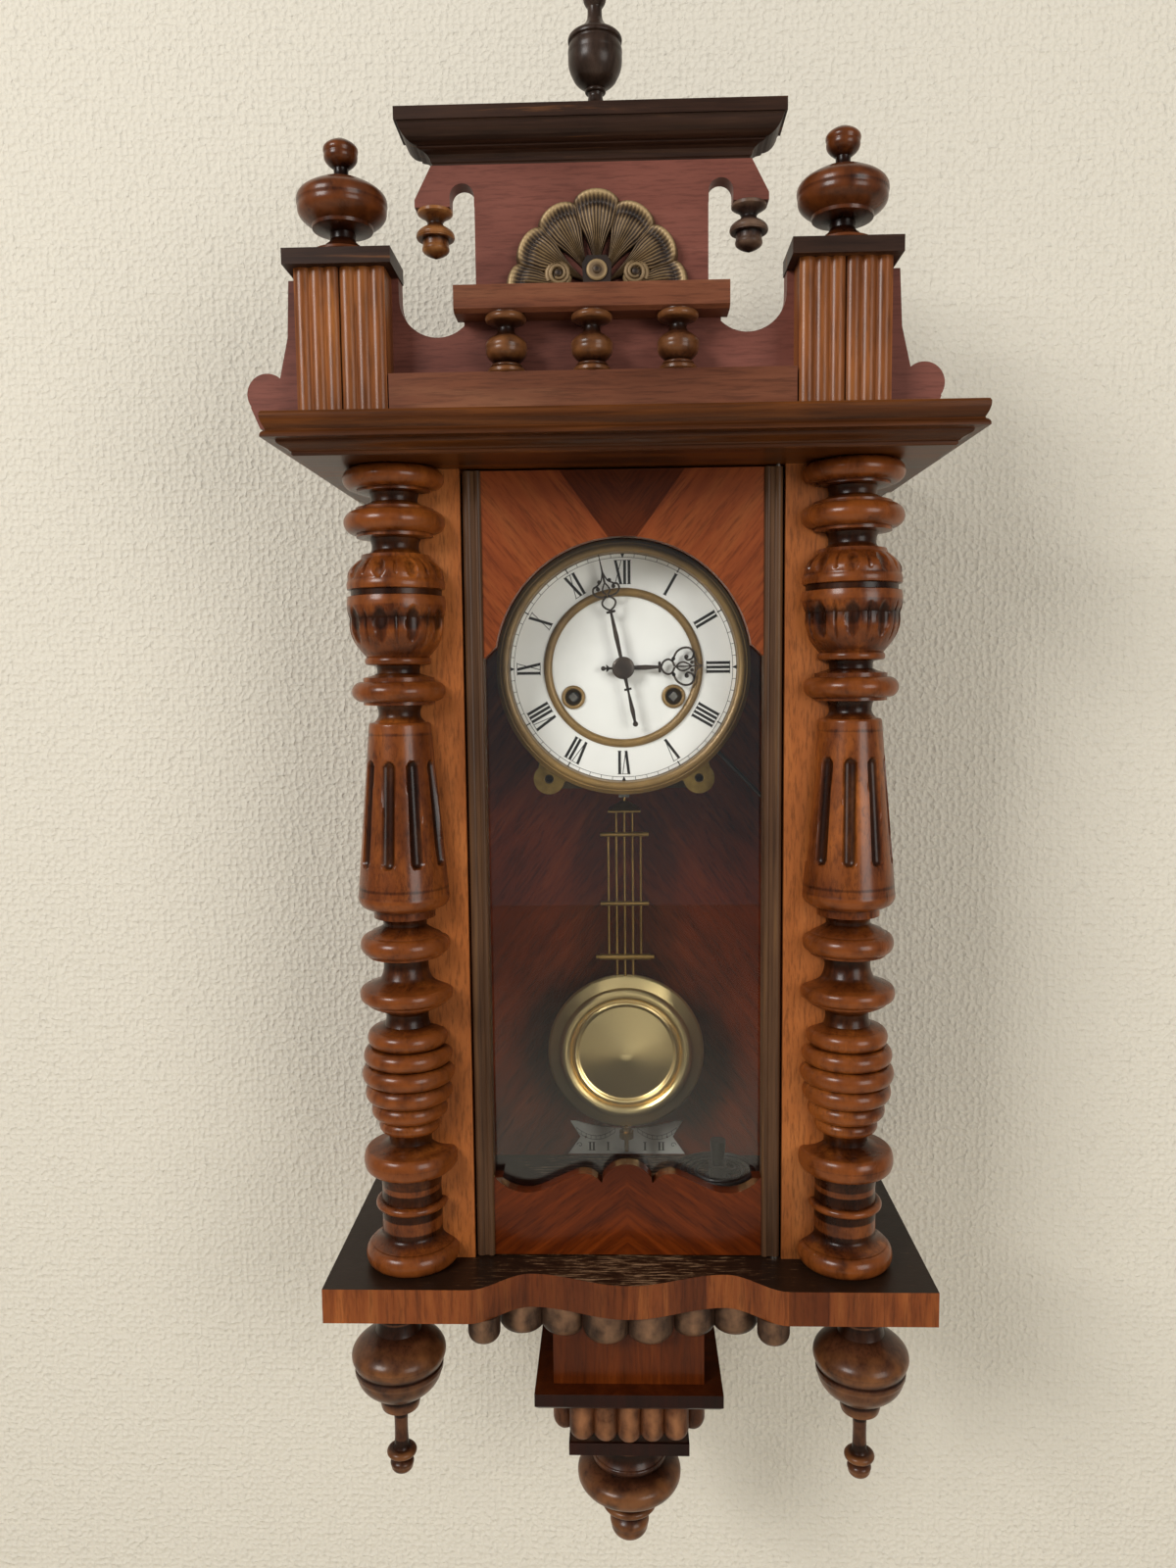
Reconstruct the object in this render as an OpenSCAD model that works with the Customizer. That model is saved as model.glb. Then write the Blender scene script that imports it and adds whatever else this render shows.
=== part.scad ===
// Wall regulator clock: a columned case with a carved crest, a hinged glass door, a spring-driven
// striking movement and a gridiron pendulum. Millimetres, +Z up, the front faces -Y.
// The origin is the centre of the hanging hole, on the wall plane.

/* [Case] */
// Clear height between the base and the cornice
case_h = 480; // [430:0.5:520]
// Width over the side panels, which is also the spacing of the column axes
case_w = 266; // [256:1:300]
// Distance of the case front from the wall
case_d = 160; // [150:1:190]
// Width of the opening between the door stiles
sight_w = 165; // [163:1:172]
// Thickness of the side panels and front boards
panel_t = 12; // [8:0.5:16]
// Thickness of the back board
back_t = 8; // [5:0.5:12]
// Height of the hanging hole above the top of the cornice
hang_rise = 16; // [12:1:30]
// Radius of the hanging hole
hang_r = 4.5; // [3:0.5:6]
// Thickness of the steel hanging plate
hang_t = 2; // [1.5:0.5:3]

/* [Base and cornice] */
// Width of the base board
base_w = 362; // [345:1:380]
// How far the base board stands out in front of the case
base_out = 38; // [34:1:50]
// Thickness of the base board
base_t = 21; // [16:1:26]
// Half width of the serpentine part of the base
serp_half = 95; // [88:1:110]
// Depth of the serpentine hollows behind the straight front
serp_dip = 19; // [10:1:22]
// Depth of the serpentine middle behind the straight front
serp_mid = 5.5; // [3:0.5:9]
// Height of the gadroon under the base
gadroon_h = 21; // [16:1:24]
// Width of the cornice
cornice_w = 385; // [370:1:410]
// How far the cornice stands out in front of the case
cornice_out = 60; // [52:1:70]
// Height of the cornice
cornice_h = 21.5; // [18:0.5:28]

/* [Columns and drops] */
// Radius of the widest rings of the columns
ring_r = 29.5; // [26:0.5:31]
// Radius of the thin necks of the columns
neck_r = 13.2; // [10:0.2:15]
// Number of flutes round each column vase
flutes = 9; // [6:1:14]
// Distance of the base drops from the middle
drop_x = 144; // [130:1:150]
// Length of the base drops
drop_h = 123; // [100:1:140]
// Radius of the base drops
drop_r = 27.2; // [24:0.5:32]
// Half width of the upper plate of the bracket
bracket_half = 57; // [50:1:62]
// Half width of the bracket block above it
block_half = 46; // [40:1:48]
// Height of the bracket block
bracket_h = 51; // [40:1:60]
// Height of the gadroon on the bracket
cushion_h = 35; // [26:1:40]
// Length of the turned bracket drop
pendant_h = 86; // [70:1:94]
// Height of the plate between the block and the cushion
plate_h = 10; // [8:0.5:14]
// Half the width of the foot plate under the cushion
foot_half = 37.5; // [34:0.5:42]
// Height of the foot plate
foot_h = 8; // [6:0.5:12]

/* [Crest] */
// Sideways shift of the loose crest on the cornice
crest_shift = -16; // [-20:1:20]
// Distance of the crest board front in front of the case front
crest_out = 14; // [8:1:20]
// Thickness of the crest board
crest_t = 12; // [8:1:15]
// Height of the crest board up to its top moulding
crest_h = 141; // [130:1:150]
// Distance of the pedestals from the middle of the crest
pedestal_x = 137.6; // [132:0.2:142]
// Height of the pedestals
pedestal_h = 81; // [70:1:84]
// Width of the pedestals
pedestal_w = 50; // [44:1:54]
// Width of the top moulding of the crest
crown_w = 212; // [206:1:230]

/* [Door] */
// Width of the door stiles
stile_w = 11; // [10:0.5:14]
// Depth of the door stiles
stile_d = 16; // [14:0.5:20]
// Thickness of the veneered panels in the door
veneer_t = 9; // [6:0.5:10]
// Thickness of the glass
glass_t = 2; // [1.5:0.5:2.5]
// Radius of the arch over the dial
arch_r = 76.5; // [72:0.5:82]
// Gap round the door
door_gap = 1.2; // [1:0.1:2]
// Radius of the steel door pins
pin_r = 1.5; // [1.2:0.1:1.8]

/* [Dial and hands] */
// Distance of the dial centre below the cornice
dial_drop = 116; // [112:1:124]
// Distance of the dial face from the wall
dial_out = 115; // [112:1:120]
// Outer radius of the bezel
bezel_r = 79.5; // [78:0.5:82]
// Radius of the dial ring that shows inside the bezel
dial_r = 71; // [68:0.5:74]
// Outer radius of the inner brass ring
inner_ring_r = 49.9; // [47:0.1:52]
// Radius of the dial centre that shows
centre_r = 44.6; // [42:0.1:46]
// Hour shown
hour_shown = 2; // [0:1:11]
// Minute shown
minute_shown = 58; // [0:1:59]
// Distance of the winding squares from the middle
winding_x = 31.5; // [30:0.5:33]
// Distance of the winding squares below the dial centre
winding_drop = 18; // [17:0.5:20]

/* [Movement] */
// Clear distance between the movement plates
plate_gap = 44; // [44:0.5:48]
// Thickness of the movement plates
plate_t = 2.5; // [2:0.25:3.5]
// Gap between the dial face and the front plate
motion_gap = 15; // [15:0.5:18]
// Radius of the arbor pivots
pivot_r = 1; // [0.8:0.1:1.2]
// Radial clearance of pivots and pipes in their holes
run_gap = 0.05; // [0.02:0.01:0.1]
// Clearance where the base gadroon is cut to fit round the bracket block
joint_gap = 0.2; // [0.1:0.1:1]
// Radius of the spring barrels
barrel_r = 26; // [22:0.5:27]
// Teeth of the going and striking great wheels
great_teeth = 72; // [68:1:80]
// Leaves of the centre pinion and the pin pinion
centre_leaves = 8; // [7:1:10]
// Teeth of the centre wheel
centre_teeth = 78; // [74:1:80]
// Room that the pendulum leaves above the floor of the case
bob_room = 18; // [14:1:30]
// Leaves of the third pinion
third_leaves = 8; // [7:1:9]
// Leaves of the escape pinion
escape_leaves = 7; // [6:1:8]
// Teeth of the escape wheel
escape_teeth = 30; // [28:1:32]

/* [Pendulum and gong] */
// Distance of the pendulum plane from the wall
pendulum_out = 42; // [40:0.5:44]
// Radius of the pendulum bob
bob_r = 55.5; // [50:0.5:58]
// Thickness of the bob
bob_t = 20; // [16:0.5:22]
// Spacing of the gridiron rods
grid_pitch = 5.7; // [5:0.1:6.2]
// Radius of the gridiron rods
grid_r = 0.95; // [0.8:0.05:1.2]
// Width of the beat plate
beat_w = 87; // [80:1:92]
// Height of the beat plate
beat_h = 25.5; // [22:0.5:27]
// Room between the gong post and the side panel
gong_room = 56; // [54:1:60]
// Height of the gong post
gong_h = 29; // [24:1:32]
// Radius of the gong wire
wire_r = 1.3; // [1:0.1:1.5]
// Turns of the gong
gong_turns = 4; // [3:1:4]

/* [Hidden] */
$fn = 48;

// Heights
z_top = -hang_rise;
z_soffit = z_top - cornice_h;
z_floor = z_soffit - case_h;
z_under = z_floor - base_t;
z_dial = z_soffit - dial_drop;
// Depths
y_case = -case_d;
y_base = y_case - base_out;
y_cornice = y_case - cornice_out;
y_dial = -dial_out;
y_plate = y_dial + motion_gap;
y_train = y_plate + plate_t;
y_back = y_train + plate_gap;
y_rear = y_back + plate_t;
y_pend = -pendulum_out;
y_hammer = y_rear + 3;
y_crest = y_case - crest_out;
// Door
door_half = sight_w / 2 + stile_w;
pivot_in = 3;
door_z0 = z_floor + door_gap;
door_z1 = z_soffit - door_gap;
hinge_x = door_half - pivot_in;
hinge_y = y_case + pivot_in;
panel_in = 2;
glass_y = y_case + panel_in + veneer_t;
gong_x = case_w / 2 - panel_t - gong_room;
// Train: the wheels mesh at these modules and distances
going = [winding_x, -winding_drop];
strike = [-winding_x, -winding_drop];
great_dist = norm(going);
great_m = 2 * great_dist / (great_teeth + centre_leaves);
third_m = 0.5;
third_dist = (centre_teeth + third_leaves) * third_m / 2;
third = third_dist * [cos(45), sin(45)];
escape_m = 0.4;
// The third wheel has the teeth that bring the pendulum down to its room above the floor
pivot_rise = 39.3;
room_len = z_dial + pivot_rise - z_floor - bob_room - 19 - bob_r;
third_teeth = round(third_leaves * escape_leaves * 3600 * sqrt(9806.65 / room_len)
    / (2 * PI * escape_teeth * centre_teeth));
escape_dist = (third_teeth + escape_leaves) * escape_m / 2;
escape = [0, third[1] + sqrt(escape_dist * escape_dist - third[0] * third[0])];
escape_r = 12;
anchor_z = escape[1] + escape_r * sqrt(2);
pin_turn = 84.5;
pin_at = strike + great_dist * [cos(pin_turn), sin(pin_turn)];
pin_teeth = 72;
warning_leaves = 8;
warning_m = 0.5;
warning_turn = 75;
warning_dist = (pin_teeth + warning_leaves) * warning_m / 2;
warning_at = pin_at + warning_dist * [cos(warning_turn), sin(warning_turn)];
warning_teeth = 64;
fly_leaves = 8;
fly_m = 0.4;
fly_at = warning_at - [(warning_teeth + fly_leaves) * fly_m / 2, 0];
cannon_teeth = 14;
minute_teeth = 42;
motion_m = 0.5;
motion_dist = (cannon_teeth + minute_teeth) * motion_m / 2;
minute_leaves = 10;
hour_teeth = 40;
hour_m = 2 * motion_dist / (minute_leaves + hour_teeth);
// The train count sets the beat, and the beat sets the length of the pendulum
beats_per_hour = 2 * escape_teeth * centre_teeth * third_teeth / (third_leaves * escape_leaves);
swing_len = 9806.65 * pow(3600 / (beats_per_hour * PI), 2);
z_pivot = z_dial + anchor_z;
z_bob = z_pivot - swing_len;
minute_turn = 90 - 6 * minute_shown;
hour_turn = 90 - 30 * hour_shown - 0.5 * minute_shown;
hand_r = 2.2;
hour_pipe_r = 3.4;
arbor_r = 1.6;
beat_z = z_floor + 1.5;
y_back_front = -back_t;

// Shapes drawn as seen from the front, standing with their front at yf and t thick
module slab(yf, t) { translate([0, yf + t, 0]) rotate([90, 0, 0]) linear_extrude(t) children(); }
// A round bar along Y
module bar_y(x, z, r, y0, y1, f = 48) {
    translate([x, y1, z]) rotate([90, 0, 0]) cylinder(r = r, h = y1 - y0, $fn = f);
}
module at_dial() { translate([0, 0, z_dial]) children(); }
module mirror_x() { children(); mirror([1, 0, 0]) children(); }
module box(lo, hi) { translate(lo) cube(hi - lo); }
// Half profiles for turned parts: a rounded ring, a fillet, and a body between two radii
module ring(h, r, t) {
    translate([r - t, h]) circle(t, $fn = 32);
    translate([0, h - t]) square([r - t, 2 * t]);
}
module fillet(h0, h1, r) { translate([0, h0]) square([r, h1 - h0]); }
function ease(t) = (1 - cos(180 * t)) / 2;
module swell(h0, h1, r0, r1, n = 10) {
    pts = [for (i = [0 : n]) [r0 + (r1 - r0) * ease(i / n), h0 + (h1 - h0) * i / n]];
    polygon(concat([[0, h0]], pts, [[0, h1]]));
}
module bulge(h0, h1, r0, r1, top, n = 14) {
    pts = [for (i = [0 : n]) let (t = i / n)
        [r0 + (r1 - r0) * t + top * sin(180 * t), h0 + (h1 - h0) * t]];
    polygon(concat([[0, h0]], pts, [[0, h1]]));
}
module turned() { rotate_extrude($fn = 72) intersection() { children(); translate([0, -400]) square([80, 1200]); } }
function arc(c, r, a0, a1, n = 8) = [for (i = [0 : n]) let (a = a0 + (a1 - a0) * i / n)
    c + r * [cos(a), sin(a)]];

// Case
module back_board() {
    color("saddlebrown") difference() {
        box([-case_w / 2 + panel_t, -back_t, z_floor], [case_w / 2 - panel_t, 0, z_soffit]);
        box([-hang_w / 2 - 0.1, -hang_t, z_soffit - hang_foot], [hang_w / 2 + 0.1, 1, z_soffit + 1]);
    }
}
hang_w = 34;
hang_foot = 45;
module hanger_plate() {
    color("dimgray") difference() {
        union() {
            box([-hang_w / 2, -hang_t, z_soffit - hang_foot], [hang_w / 2, 0, 0]);
            bar_y(0, 0, hang_w / 2, -hang_t, 0);
        }
        bar_y(0, 0, hang_r, -hang_t - 1, 1);
        for (x = [-8, 8], z = [14, 34]) bar_y(x, z_soffit - z, 2.1, -hang_t - 1, 1);
    }
}
module side_panels() {
    color("sienna") for (s = [-1, 1])
        translate([s * (case_w - panel_t) / 2, 0, 0])
            box([-panel_t / 2, y_case + panel_t, z_floor], [panel_t / 2, 0, z_soffit]);
}
module front_boards() {
    inner = door_half + door_gap;
    color("peru") for (s = [-1, 1]) translate([s * (inner + case_w / 2) / 2, 0, 0])
        box([(inner - case_w / 2) / 2, y_case, z_floor],
            [(case_w / 2 - inner) / 2, y_case + panel_t, z_soffit]);
}
// Front line of the base: straight ends, then hollows on both sides of a swelling middle
function serp(x) = let (a = abs(x), dip_x = serp_half * 0.62)
    a >= serp_half ? 0 :
    a > dip_x ? serp_dip * ease((serp_half - a) / (serp_half - dip_x)) :
    serp_mid + (serp_dip - serp_mid) * ease(a / dip_x);
module base_outline(inset = 0) {
    n = 48;
    front = [for (i = [0 : n]) let (x = -serp_half + 2 * serp_half * i / n) [x, y_base + serp(x) + inset]];
    polygon(concat([[-base_w / 2 + inset, 0], [-base_w / 2 + inset, y_base + inset]], front,
        [[base_w / 2 - inset, y_base + inset], [base_w / 2 - inset, 0]]));
}
module base_board() {
    color("#3a2520") difference() {
        translate([0, 0, z_under]) linear_extrude(base_t) base_outline();
        translate([hinge_x, hinge_y, z_floor - 10]) cylinder(r = pin_r, h = 20);
        for (s = [-1, 1]) translate([s * drop_x, y_case, z_under - 1]) cylinder(r = peg_r, h = 13);
    }
}
peg_r = 5;
// A gadroon lobe hangs like a bullet: upright, with a round lower end
module lobe(r, h) {
    turned() polygon(concat([[0, 0]], [for (i = [1 : 6]) r * [sin(15 * i), 1 - cos(15 * i)]], [[r, h], [0, h]]));
}
lobe_w = 26.1;
module base_gadroon() {
    end_w = serp_half - 3 * lobe_w;
    web_half = serp_half - 6;
    color("#4a3b33") difference() {
        intersection() {
            union() {
                for (i = [-2.5 : 2.5]) let (r = lobe_w / 2 + 0.3)
                    translate([i * lobe_w, y_base + serp(i * lobe_w) + r + 3, z_under - gadroon_h]) lobe(r, gadroon_h + 1);
                for (s = [-1, 1]) let (r = end_w / 2 + 0.6)
                    translate([s * (serp_half - end_w / 2 - 0.3), y_base + r + 4, z_under - gadroon_h * 0.8])
                        lobe(r, gadroon_h);
                translate([0, 0, z_under - gadroon_h * 0.5]) linear_extrude(gadroon_h * 0.5)
                    polygon(concat([for (i = [-10 : 10]) let (x = i * web_half / 10) [x, y_base + serp(x) + 15]],
                        [[web_half, y_case + 4], [-web_half, y_case + 4]]));
            }
            box([-serp_half - 5, y_base, z_under - gadroon_h - 1], [serp_half + 5, y_case + 4, z_under]);
        }
        block(block_half + joint_gap, z_under - gadroon_h - 1, z_under + 1);
    }
}
// Cornice moulding: setback from the front at each height, from a bead up to a round nose
cornice_line = concat([[14, 0], [13.2, 0.6], [13.2, 2]],
    [for (i = [0 : 6]) [12.4 - 5.6 * ease(i / 6), 2.4 + 3.8 * i / 6]],
    [[6.6, 7.2]], arc([3.2, 8.2], 3.2, 190, 110, 4),
    [for (i = [0 : 5]) [3 - 3 * sin(15 * i + 10), 12 + 6.5 * i / 5]], [[0, 19.8], [0.7, 21.1], [2, 21.5]]);
cornice_edge = [for (p = cornice_line) [p[0], p[1] * cornice_h / 21.5]];
function reversed(list) = [for (i = [len(list) - 1 : -1 : 0]) list[i]];
// A board with the same moulding on its front and on both ends
module moulded(edge, half, y0, y1, h) {
    intersection() {
        translate([half, 0, 0]) rotate([90, 0, -90]) linear_extrude(2 * half)
            polygon(concat([for (p = edge) [-y0 - p[0], p[1]]], [[-y1, h], [-y1, 0]]));
        translate([0, y1, 0]) rotate([90, 0, 0]) linear_extrude(y1 - y0)
            polygon(concat([for (p = edge) [half - p[0], p[1]]], [for (p = reversed(edge)) [p[0] - half, p[1]]]));
    }
}
module cornice() {
    color("#54301f") difference() {
        translate([0, 0, z_soffit]) moulded(cornice_edge, cornice_w / 2, y_cornice, 0, cornice_h);
        box([-hang_w / 2 - 0.1, -hang_t - 0.1, z_soffit - 1], [hang_w / 2 + 0.1, 1, z_top + 1]);
        translate([hinge_x, hinge_y, z_soffit - 1]) cylinder(r = pin_r, h = 11);
    }
}

// Columns: turned full round, then a quarter is cut away to fit the corner of the case
module column_profile() {
    k = case_h / 480;
    rr = ring_r;
    fillet(0, case_h, neck_r);
    ring(k * 10, rr - 1.2, 10);
    fillet(k * 18, k * 62, 18.5);
    ring(k * 37.5, 22.1, 3);
    ring(k * 65, rr - 0.9, 6.6);
    for (b = [[86, 19, 4.5], [96, 23.2, 5.5], [107.5, 26.6, 6], [119, 28.2, 6], [130, 27, 6], [141.5, 24.3, 5.5]])
        ring(k * b[0], b[1], b[2]);
    swell(k * 150, k * 163, 13.5, 26);
    ring(k * 168, rr - 1.4, 5);
    ring(k * 198.5, rr - 2.5, 6.3);
    fillet(k * 211, k * 219, 18.5);
    translate([rr - 2.2 - 9, k * 228]) circle(9, $fn = 32);
    fillet(k * 219, k * 232, rr - 11.2);
    polygon([[0, k * 226], [rr - 2.3, k * 229], [18.2, k * 330], [0, k * 330]]);
    fillet(k * 329, k * 334, 16);
    fillet(k * 342, k * 346, 21);
    ring(k * 349.5, rr - 2, 5.6);
    fillet(k * 364, k * 370, 18.4);
    bulge(k * 370, k * 405, 18.4, rr - 1.5, 4);
    fillet(k * 405, k * 408, rr - 2.6);
    bulge(k * 408, k * 426, rr - 1.2, 14, 4.5);
    ring(k * 446, rr, 6.5);
    ring(k * 473.5, rr, 6.5);
    fillet(k * 470, case_h, rr - 8);
}
module column(s) {
    k = case_h / 480;
    vase_r = ring_r - 2.3;
    lean = atan((vase_r - 18.2) / (k * 101));
    difference() {
        translate([0, 0, z_floor]) turned() column_profile();
        for (i = [0 : flutes - 1]) rotate([0, 0, (i + 0.5) * 360 / flutes])
            translate([vase_r + 1.6, 0, z_floor + k * 246]) rotate([0, -lean, 0]) {
                cylinder(r = 4.4, h = k * 62);
                sphere(4.4);
                translate([0, 0, k * 62]) sphere(4.4);
            }
        rotate([0, 0, s > 0 ? 90 : 0]) translate([0, 0, z_floor - 1]) cube([40, 40, case_h + 2]);
    }
}
module column_left() { color("chocolate") translate([-case_w / 2, y_case, 0]) column(-1); }
module column_right() { color("chocolate") translate([case_w / 2, y_case, 0]) column(1); }

// Turned drops under the base, pegged into it
module drop_profile() {
    d = drop_h / 122;
    fillet(-d * 24, 12, peg_r);
    fillet(-d * 8, 0, 17);
    fillet(-d * 33, -d * 7, 14.2);
    bulge(-d * 72, -d * 33, 13, 14.2, drop_r - 14);
    ring(-d * 52, drop_r + 0.6, 3);
    fillet(-d * 78, -d * 70, 12);
    fillet(-d * 103, -d * 77, 4.4);
    ring(-d * 106, 9.3, 3.2);
    translate([0, -d * 115]) circle(7, $fn = 32);
    fillet(-d * 112, -d * 104, 5);
}
module base_drops() {
    color("#5a2f1c") for (s = [-1, 1]) translate([s * drop_x, y_case, z_under]) turned() drop_profile();
}
// Bracket: a block with plates, a gadrooned cushion and a turned drop
bracket_y = y_case + 30;
z_plate = z_under - bracket_h;
z_cushion = z_plate - plate_h;
z_foot = z_cushion - cushion_h;
module block(half, z0, z1) {
    box([-half, bracket_y - half, z0], [half, min(bracket_y + half, -1), z1]);
}
module bracket_block() {
    color("#43352d") {
        block(block_half, z_plate, z_under);
        difference() {
            block(bracket_half, z_cushion, z_plate);
            translate([0, 0, -0.01]) for (s = [-1, 1]) translate([s * bracket_half, bracket_y, z_cushion])
                rotate([0, 45, 0]) cube([3, 4 * bracket_half, 3], center = true);
            translate([0, bracket_y - bracket_half, z_cushion - 0.01])
                rotate([45, 0, 0]) cube([4 * bracket_half, 3, 3], center = true);
        }
        block(foot_half, z_foot - foot_h, z_foot);
    }
}
module bracket_gadroon() {
    r = foot_half * 0.205;
    core = foot_half - 1;
    color("#4d3d34") difference() {
        union() {
            for (side = [0 : 3], i = [-2 : 2]) translate([0, bracket_y, z_foot]) rotate([0, 0, 90 * side])
                translate([i * foot_half * 0.384, -foot_half - 2.5, 4 + abs(i)]) lobe(r, cushion_h);
            translate([-core, bracket_y - core, z_foot]) cube([2 * core, 2 * core, cushion_h]);
        }
        translate([-99, bracket_y - 99, z_cushion]) cube([198, 198, 20]);
    }
}
module bracket_drop() {
    d = pendant_h / 86;
    color("#43352d") translate([0, bracket_y, z_foot - foot_h]) turned() {
        fillet(-d * 30, 0, 21);
        bulge(-d * 25, -d * 14, 24, 24, 1.5);
        bulge(-d * 52, -d * 24, 20, 24, 12);
        fillet(-d * 60, -d * 50, 13);
        ring(-d * 57, 18, 2.4);
        fillet(-d * 68, -d * 58, 10);
        translate([0, -d * 73.6]) circle(12.3, $fn = 40);
    }
}

// Crest: it stands loose on the cornice
module on_crest() { translate([crest_shift, 0, z_top]) children(); }
module crest_outline() {
    px = pedestal_x;
    // Middle board with its waist and the ears that carry the acorns
    difference() {
        union() {
            translate([-72, 0]) square([144, 60]);
            translate([-65, 58]) square([130, crest_h - 58]);
            polygon(concat([[-89, crest_h], [-98.5, crest_h - 18], [-98.5, crest_h - 22], [98.5, crest_h - 22]],
                [[98.5, crest_h - 18], [89, crest_h]]));
        }
        mirror_x() {
            translate([72, crest_h - 16.5]) circle(6.8, $fn = 40);
            translate([65.2, crest_h - 30]) square([13.6, 13.5]);
            translate([100.5, crest_h - 4]) circle(7.5, $fn = 40);
        }
    }
    // Sides behind the pedestals, scooped down to the ledge, with a round lobe at each end
    mirror_x() difference() {
        union() {
            translate([60, 0]) square([48, 75]);
            polygon([[105, 0], [190, 0], [195, 12], [178, 26], [172.5, 50], [171, pedestal_h], [105, pedestal_h]]);
            translate([px + 47.5, 19]) circle(11.6, $fn = 48);
        }
        translate([87, 70]) circle(21.5, $fn = 60);
        translate([65.6, 70]) square([43, 20]);
    }
}
module crest_board() { color("#6b3a2a") on_crest() slab(y_crest, crest_t) crest_outline(); }
plinth_h = 24;
pedestal_d = 21;
module crest_plinth() {
    half = pedestal_x - pedestal_w / 2 - 1;
    color("#6b3a2a") on_crest() box([-half, y_crest - pedestal_d, 0], [half, y_crest, plinth_h]);
}
// A pedestal: two bundles of three reeds each
module crest_pedestals() {
    reed = pedestal_w / 6.2;
    reed_r = 5.2;
    rise = reed_r - sqrt(reed_r * reed_r - reed * reed / 4);
    color("#8a4f22") on_crest() for (s = [-1, 1]) translate([s * pedestal_x, 0, 0]) {
        difference() {
            box([-pedestal_w / 2, y_crest - pedestal_d + rise - 0.3, 0], [pedestal_w / 2, y_crest, pedestal_h]);
            box([-0.5, y_crest - pedestal_d - 1, -1], [0.5, y_crest - pedestal_d + rise + 2, pedestal_h + 1]);
        }
        intersection() {
            for (b = [-1, 1], i = [-1 : 1])
                translate([b * pedestal_w / 4 + i * reed * 1.01, y_crest - pedestal_d + reed_r, 0])
                    cylinder(r = reed_r, h = pedestal_h);
            for (b = [-1, 1]) translate([b * pedestal_w / 4, 0, 0])
                box([-pedestal_w / 4 + 0.5, y_crest - pedestal_d - 2, 0],
                    [pedestal_w / 4 - (b > 0 ? 0 : 0.5), y_crest - pedestal_d + reed_r, pedestal_h]);
        }
    }
}
cap_t = 8.5;
cap_out = 5;
module pedestal_caps() {
    half = pedestal_w / 2 + cap_out - 0.4;
    color("#4c3226") on_crest() for (s = [-1, 1]) translate([s * pedestal_x, 0, pedestal_h])
        box([-half, y_crest - pedestal_d - cap_out, 0], [half, y_crest + crest_t, cap_t]);
}
module pedestal_finials() {
    color("#4c2c1e") on_crest()
        for (s = [-1, 1]) translate([s * pedestal_x, y_crest - 7, pedestal_h + cap_t]) turned() {
            bulge(0, 8, 17.6, 7.6, 2.6);
            fillet(7, 16, 7);
            fillet(14.4, 17, 15.6);
            bulge(15.4, 44, 16, 4.4, 14.4);
            fillet(43, 49, 4);
            translate([0, 55.3]) circle(9.1, $fn = 40);
        }
}
ledge_z = 56.5;
ledge_h = 14.5;
module crest_ledge() {
    half = 75.5;
    color("#6b3a2a") on_crest() intersection() {
        translate([half, 0, 0]) rotate([90, 0, -90]) linear_extrude(2 * half) mirror([1, 0])
            polygon([[y_crest, ledge_z], [y_crest - 15.4, ledge_z], [y_crest - 18, ledge_z + 2],
                [y_crest - 18, ledge_z + ledge_h], [y_crest, ledge_z + ledge_h]]);
        box([-half, y_crest - 30, 0], [half, y_crest, 100]);
    }
}
module crest_balusters() {
    color("#6f3f26") on_crest() for (i = [-1 : 1])
        translate([i * 47.4, y_crest - 12, plinth_h]) turned() {
            h = ledge_z - plinth_h;
            fillet(0, h, 6.4);
            ring(1.6, 10.5, 1.6);
            ring(4.4, 8.6, 0.9);
            bulge(6.6, 22, 6.4, 6.4, 5.3);
            fillet(h - 8, h - 3, 8.5);
            ring(h - 2, 11.4, 2);
        }
}
// Shell: seven tapering lobes fanned over two scrolls
module shell_ornament() {
    shell_z = ledge_z + ledge_h;
    rise = 12;
    color("#6e5a3c") on_crest() translate([3, y_crest, shell_z + rise]) {
        intersection() {
            union() {
                for (a = [-81 : 27 : 81]) let (fan = 35 + 5 * abs(sin(a)))
                    rotate([0, a, 0]) translate([0, -1, 0]) rotate_extrude($fn = 36)
                        polygon(concat([[0, 13], [2.6, 13], [7.7, fan - 1]], arc([0, fan], 7.8, 0, 90, 6)));
                slab(-3, 3) intersection() {
                    circle(34, $fn = 72);
                    translate([-40, -rise]) square([80, 80]);
                }
            }
            translate([-60, -20, -rise]) cube([120, 20, 80]);
        }
        rotate([90, 0, 0]) {
            cylinder(r = 11, h = 6);
            cylinder(r = 5, h = 9);
            for (s = [-1, 1]) translate([s * 21, -4.4]) {
                cylinder(r = 7.4, h = 8);
                cylinder(r = 3.6, h = 10.5);
            }
        }
    }
}
crown_h = 23.5;
crown_out = 18;
module crest_cornice() {
    half = crown_w / 2;
    y0 = y_crest - crown_out;
    y1 = y_crest + crest_t;
    edge = concat([[crown_out, 0], [crown_out, 0.8]],
        [for (i = [0 : 4]) [crown_out - 0.8 - 5.6 * (1 - cos(22.5 * i)), 1.4 + 4.8 * sin(22.5 * i)]],
        [[10.6, 6.6], [10.6, 7.4]], [for (i = [1 : 6]) [10.6 - 9 * sin(13 * i), 7.4 + 8.4 * (1 - cos(15 * i))]],
        [[1.2, 16.6], [0, 16.6], [0, crown_h]]);
    color("#3d2b23") on_crest() translate([0, 0, crest_h]) moulded(edge, half, y0, y1, crown_h);
}
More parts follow.
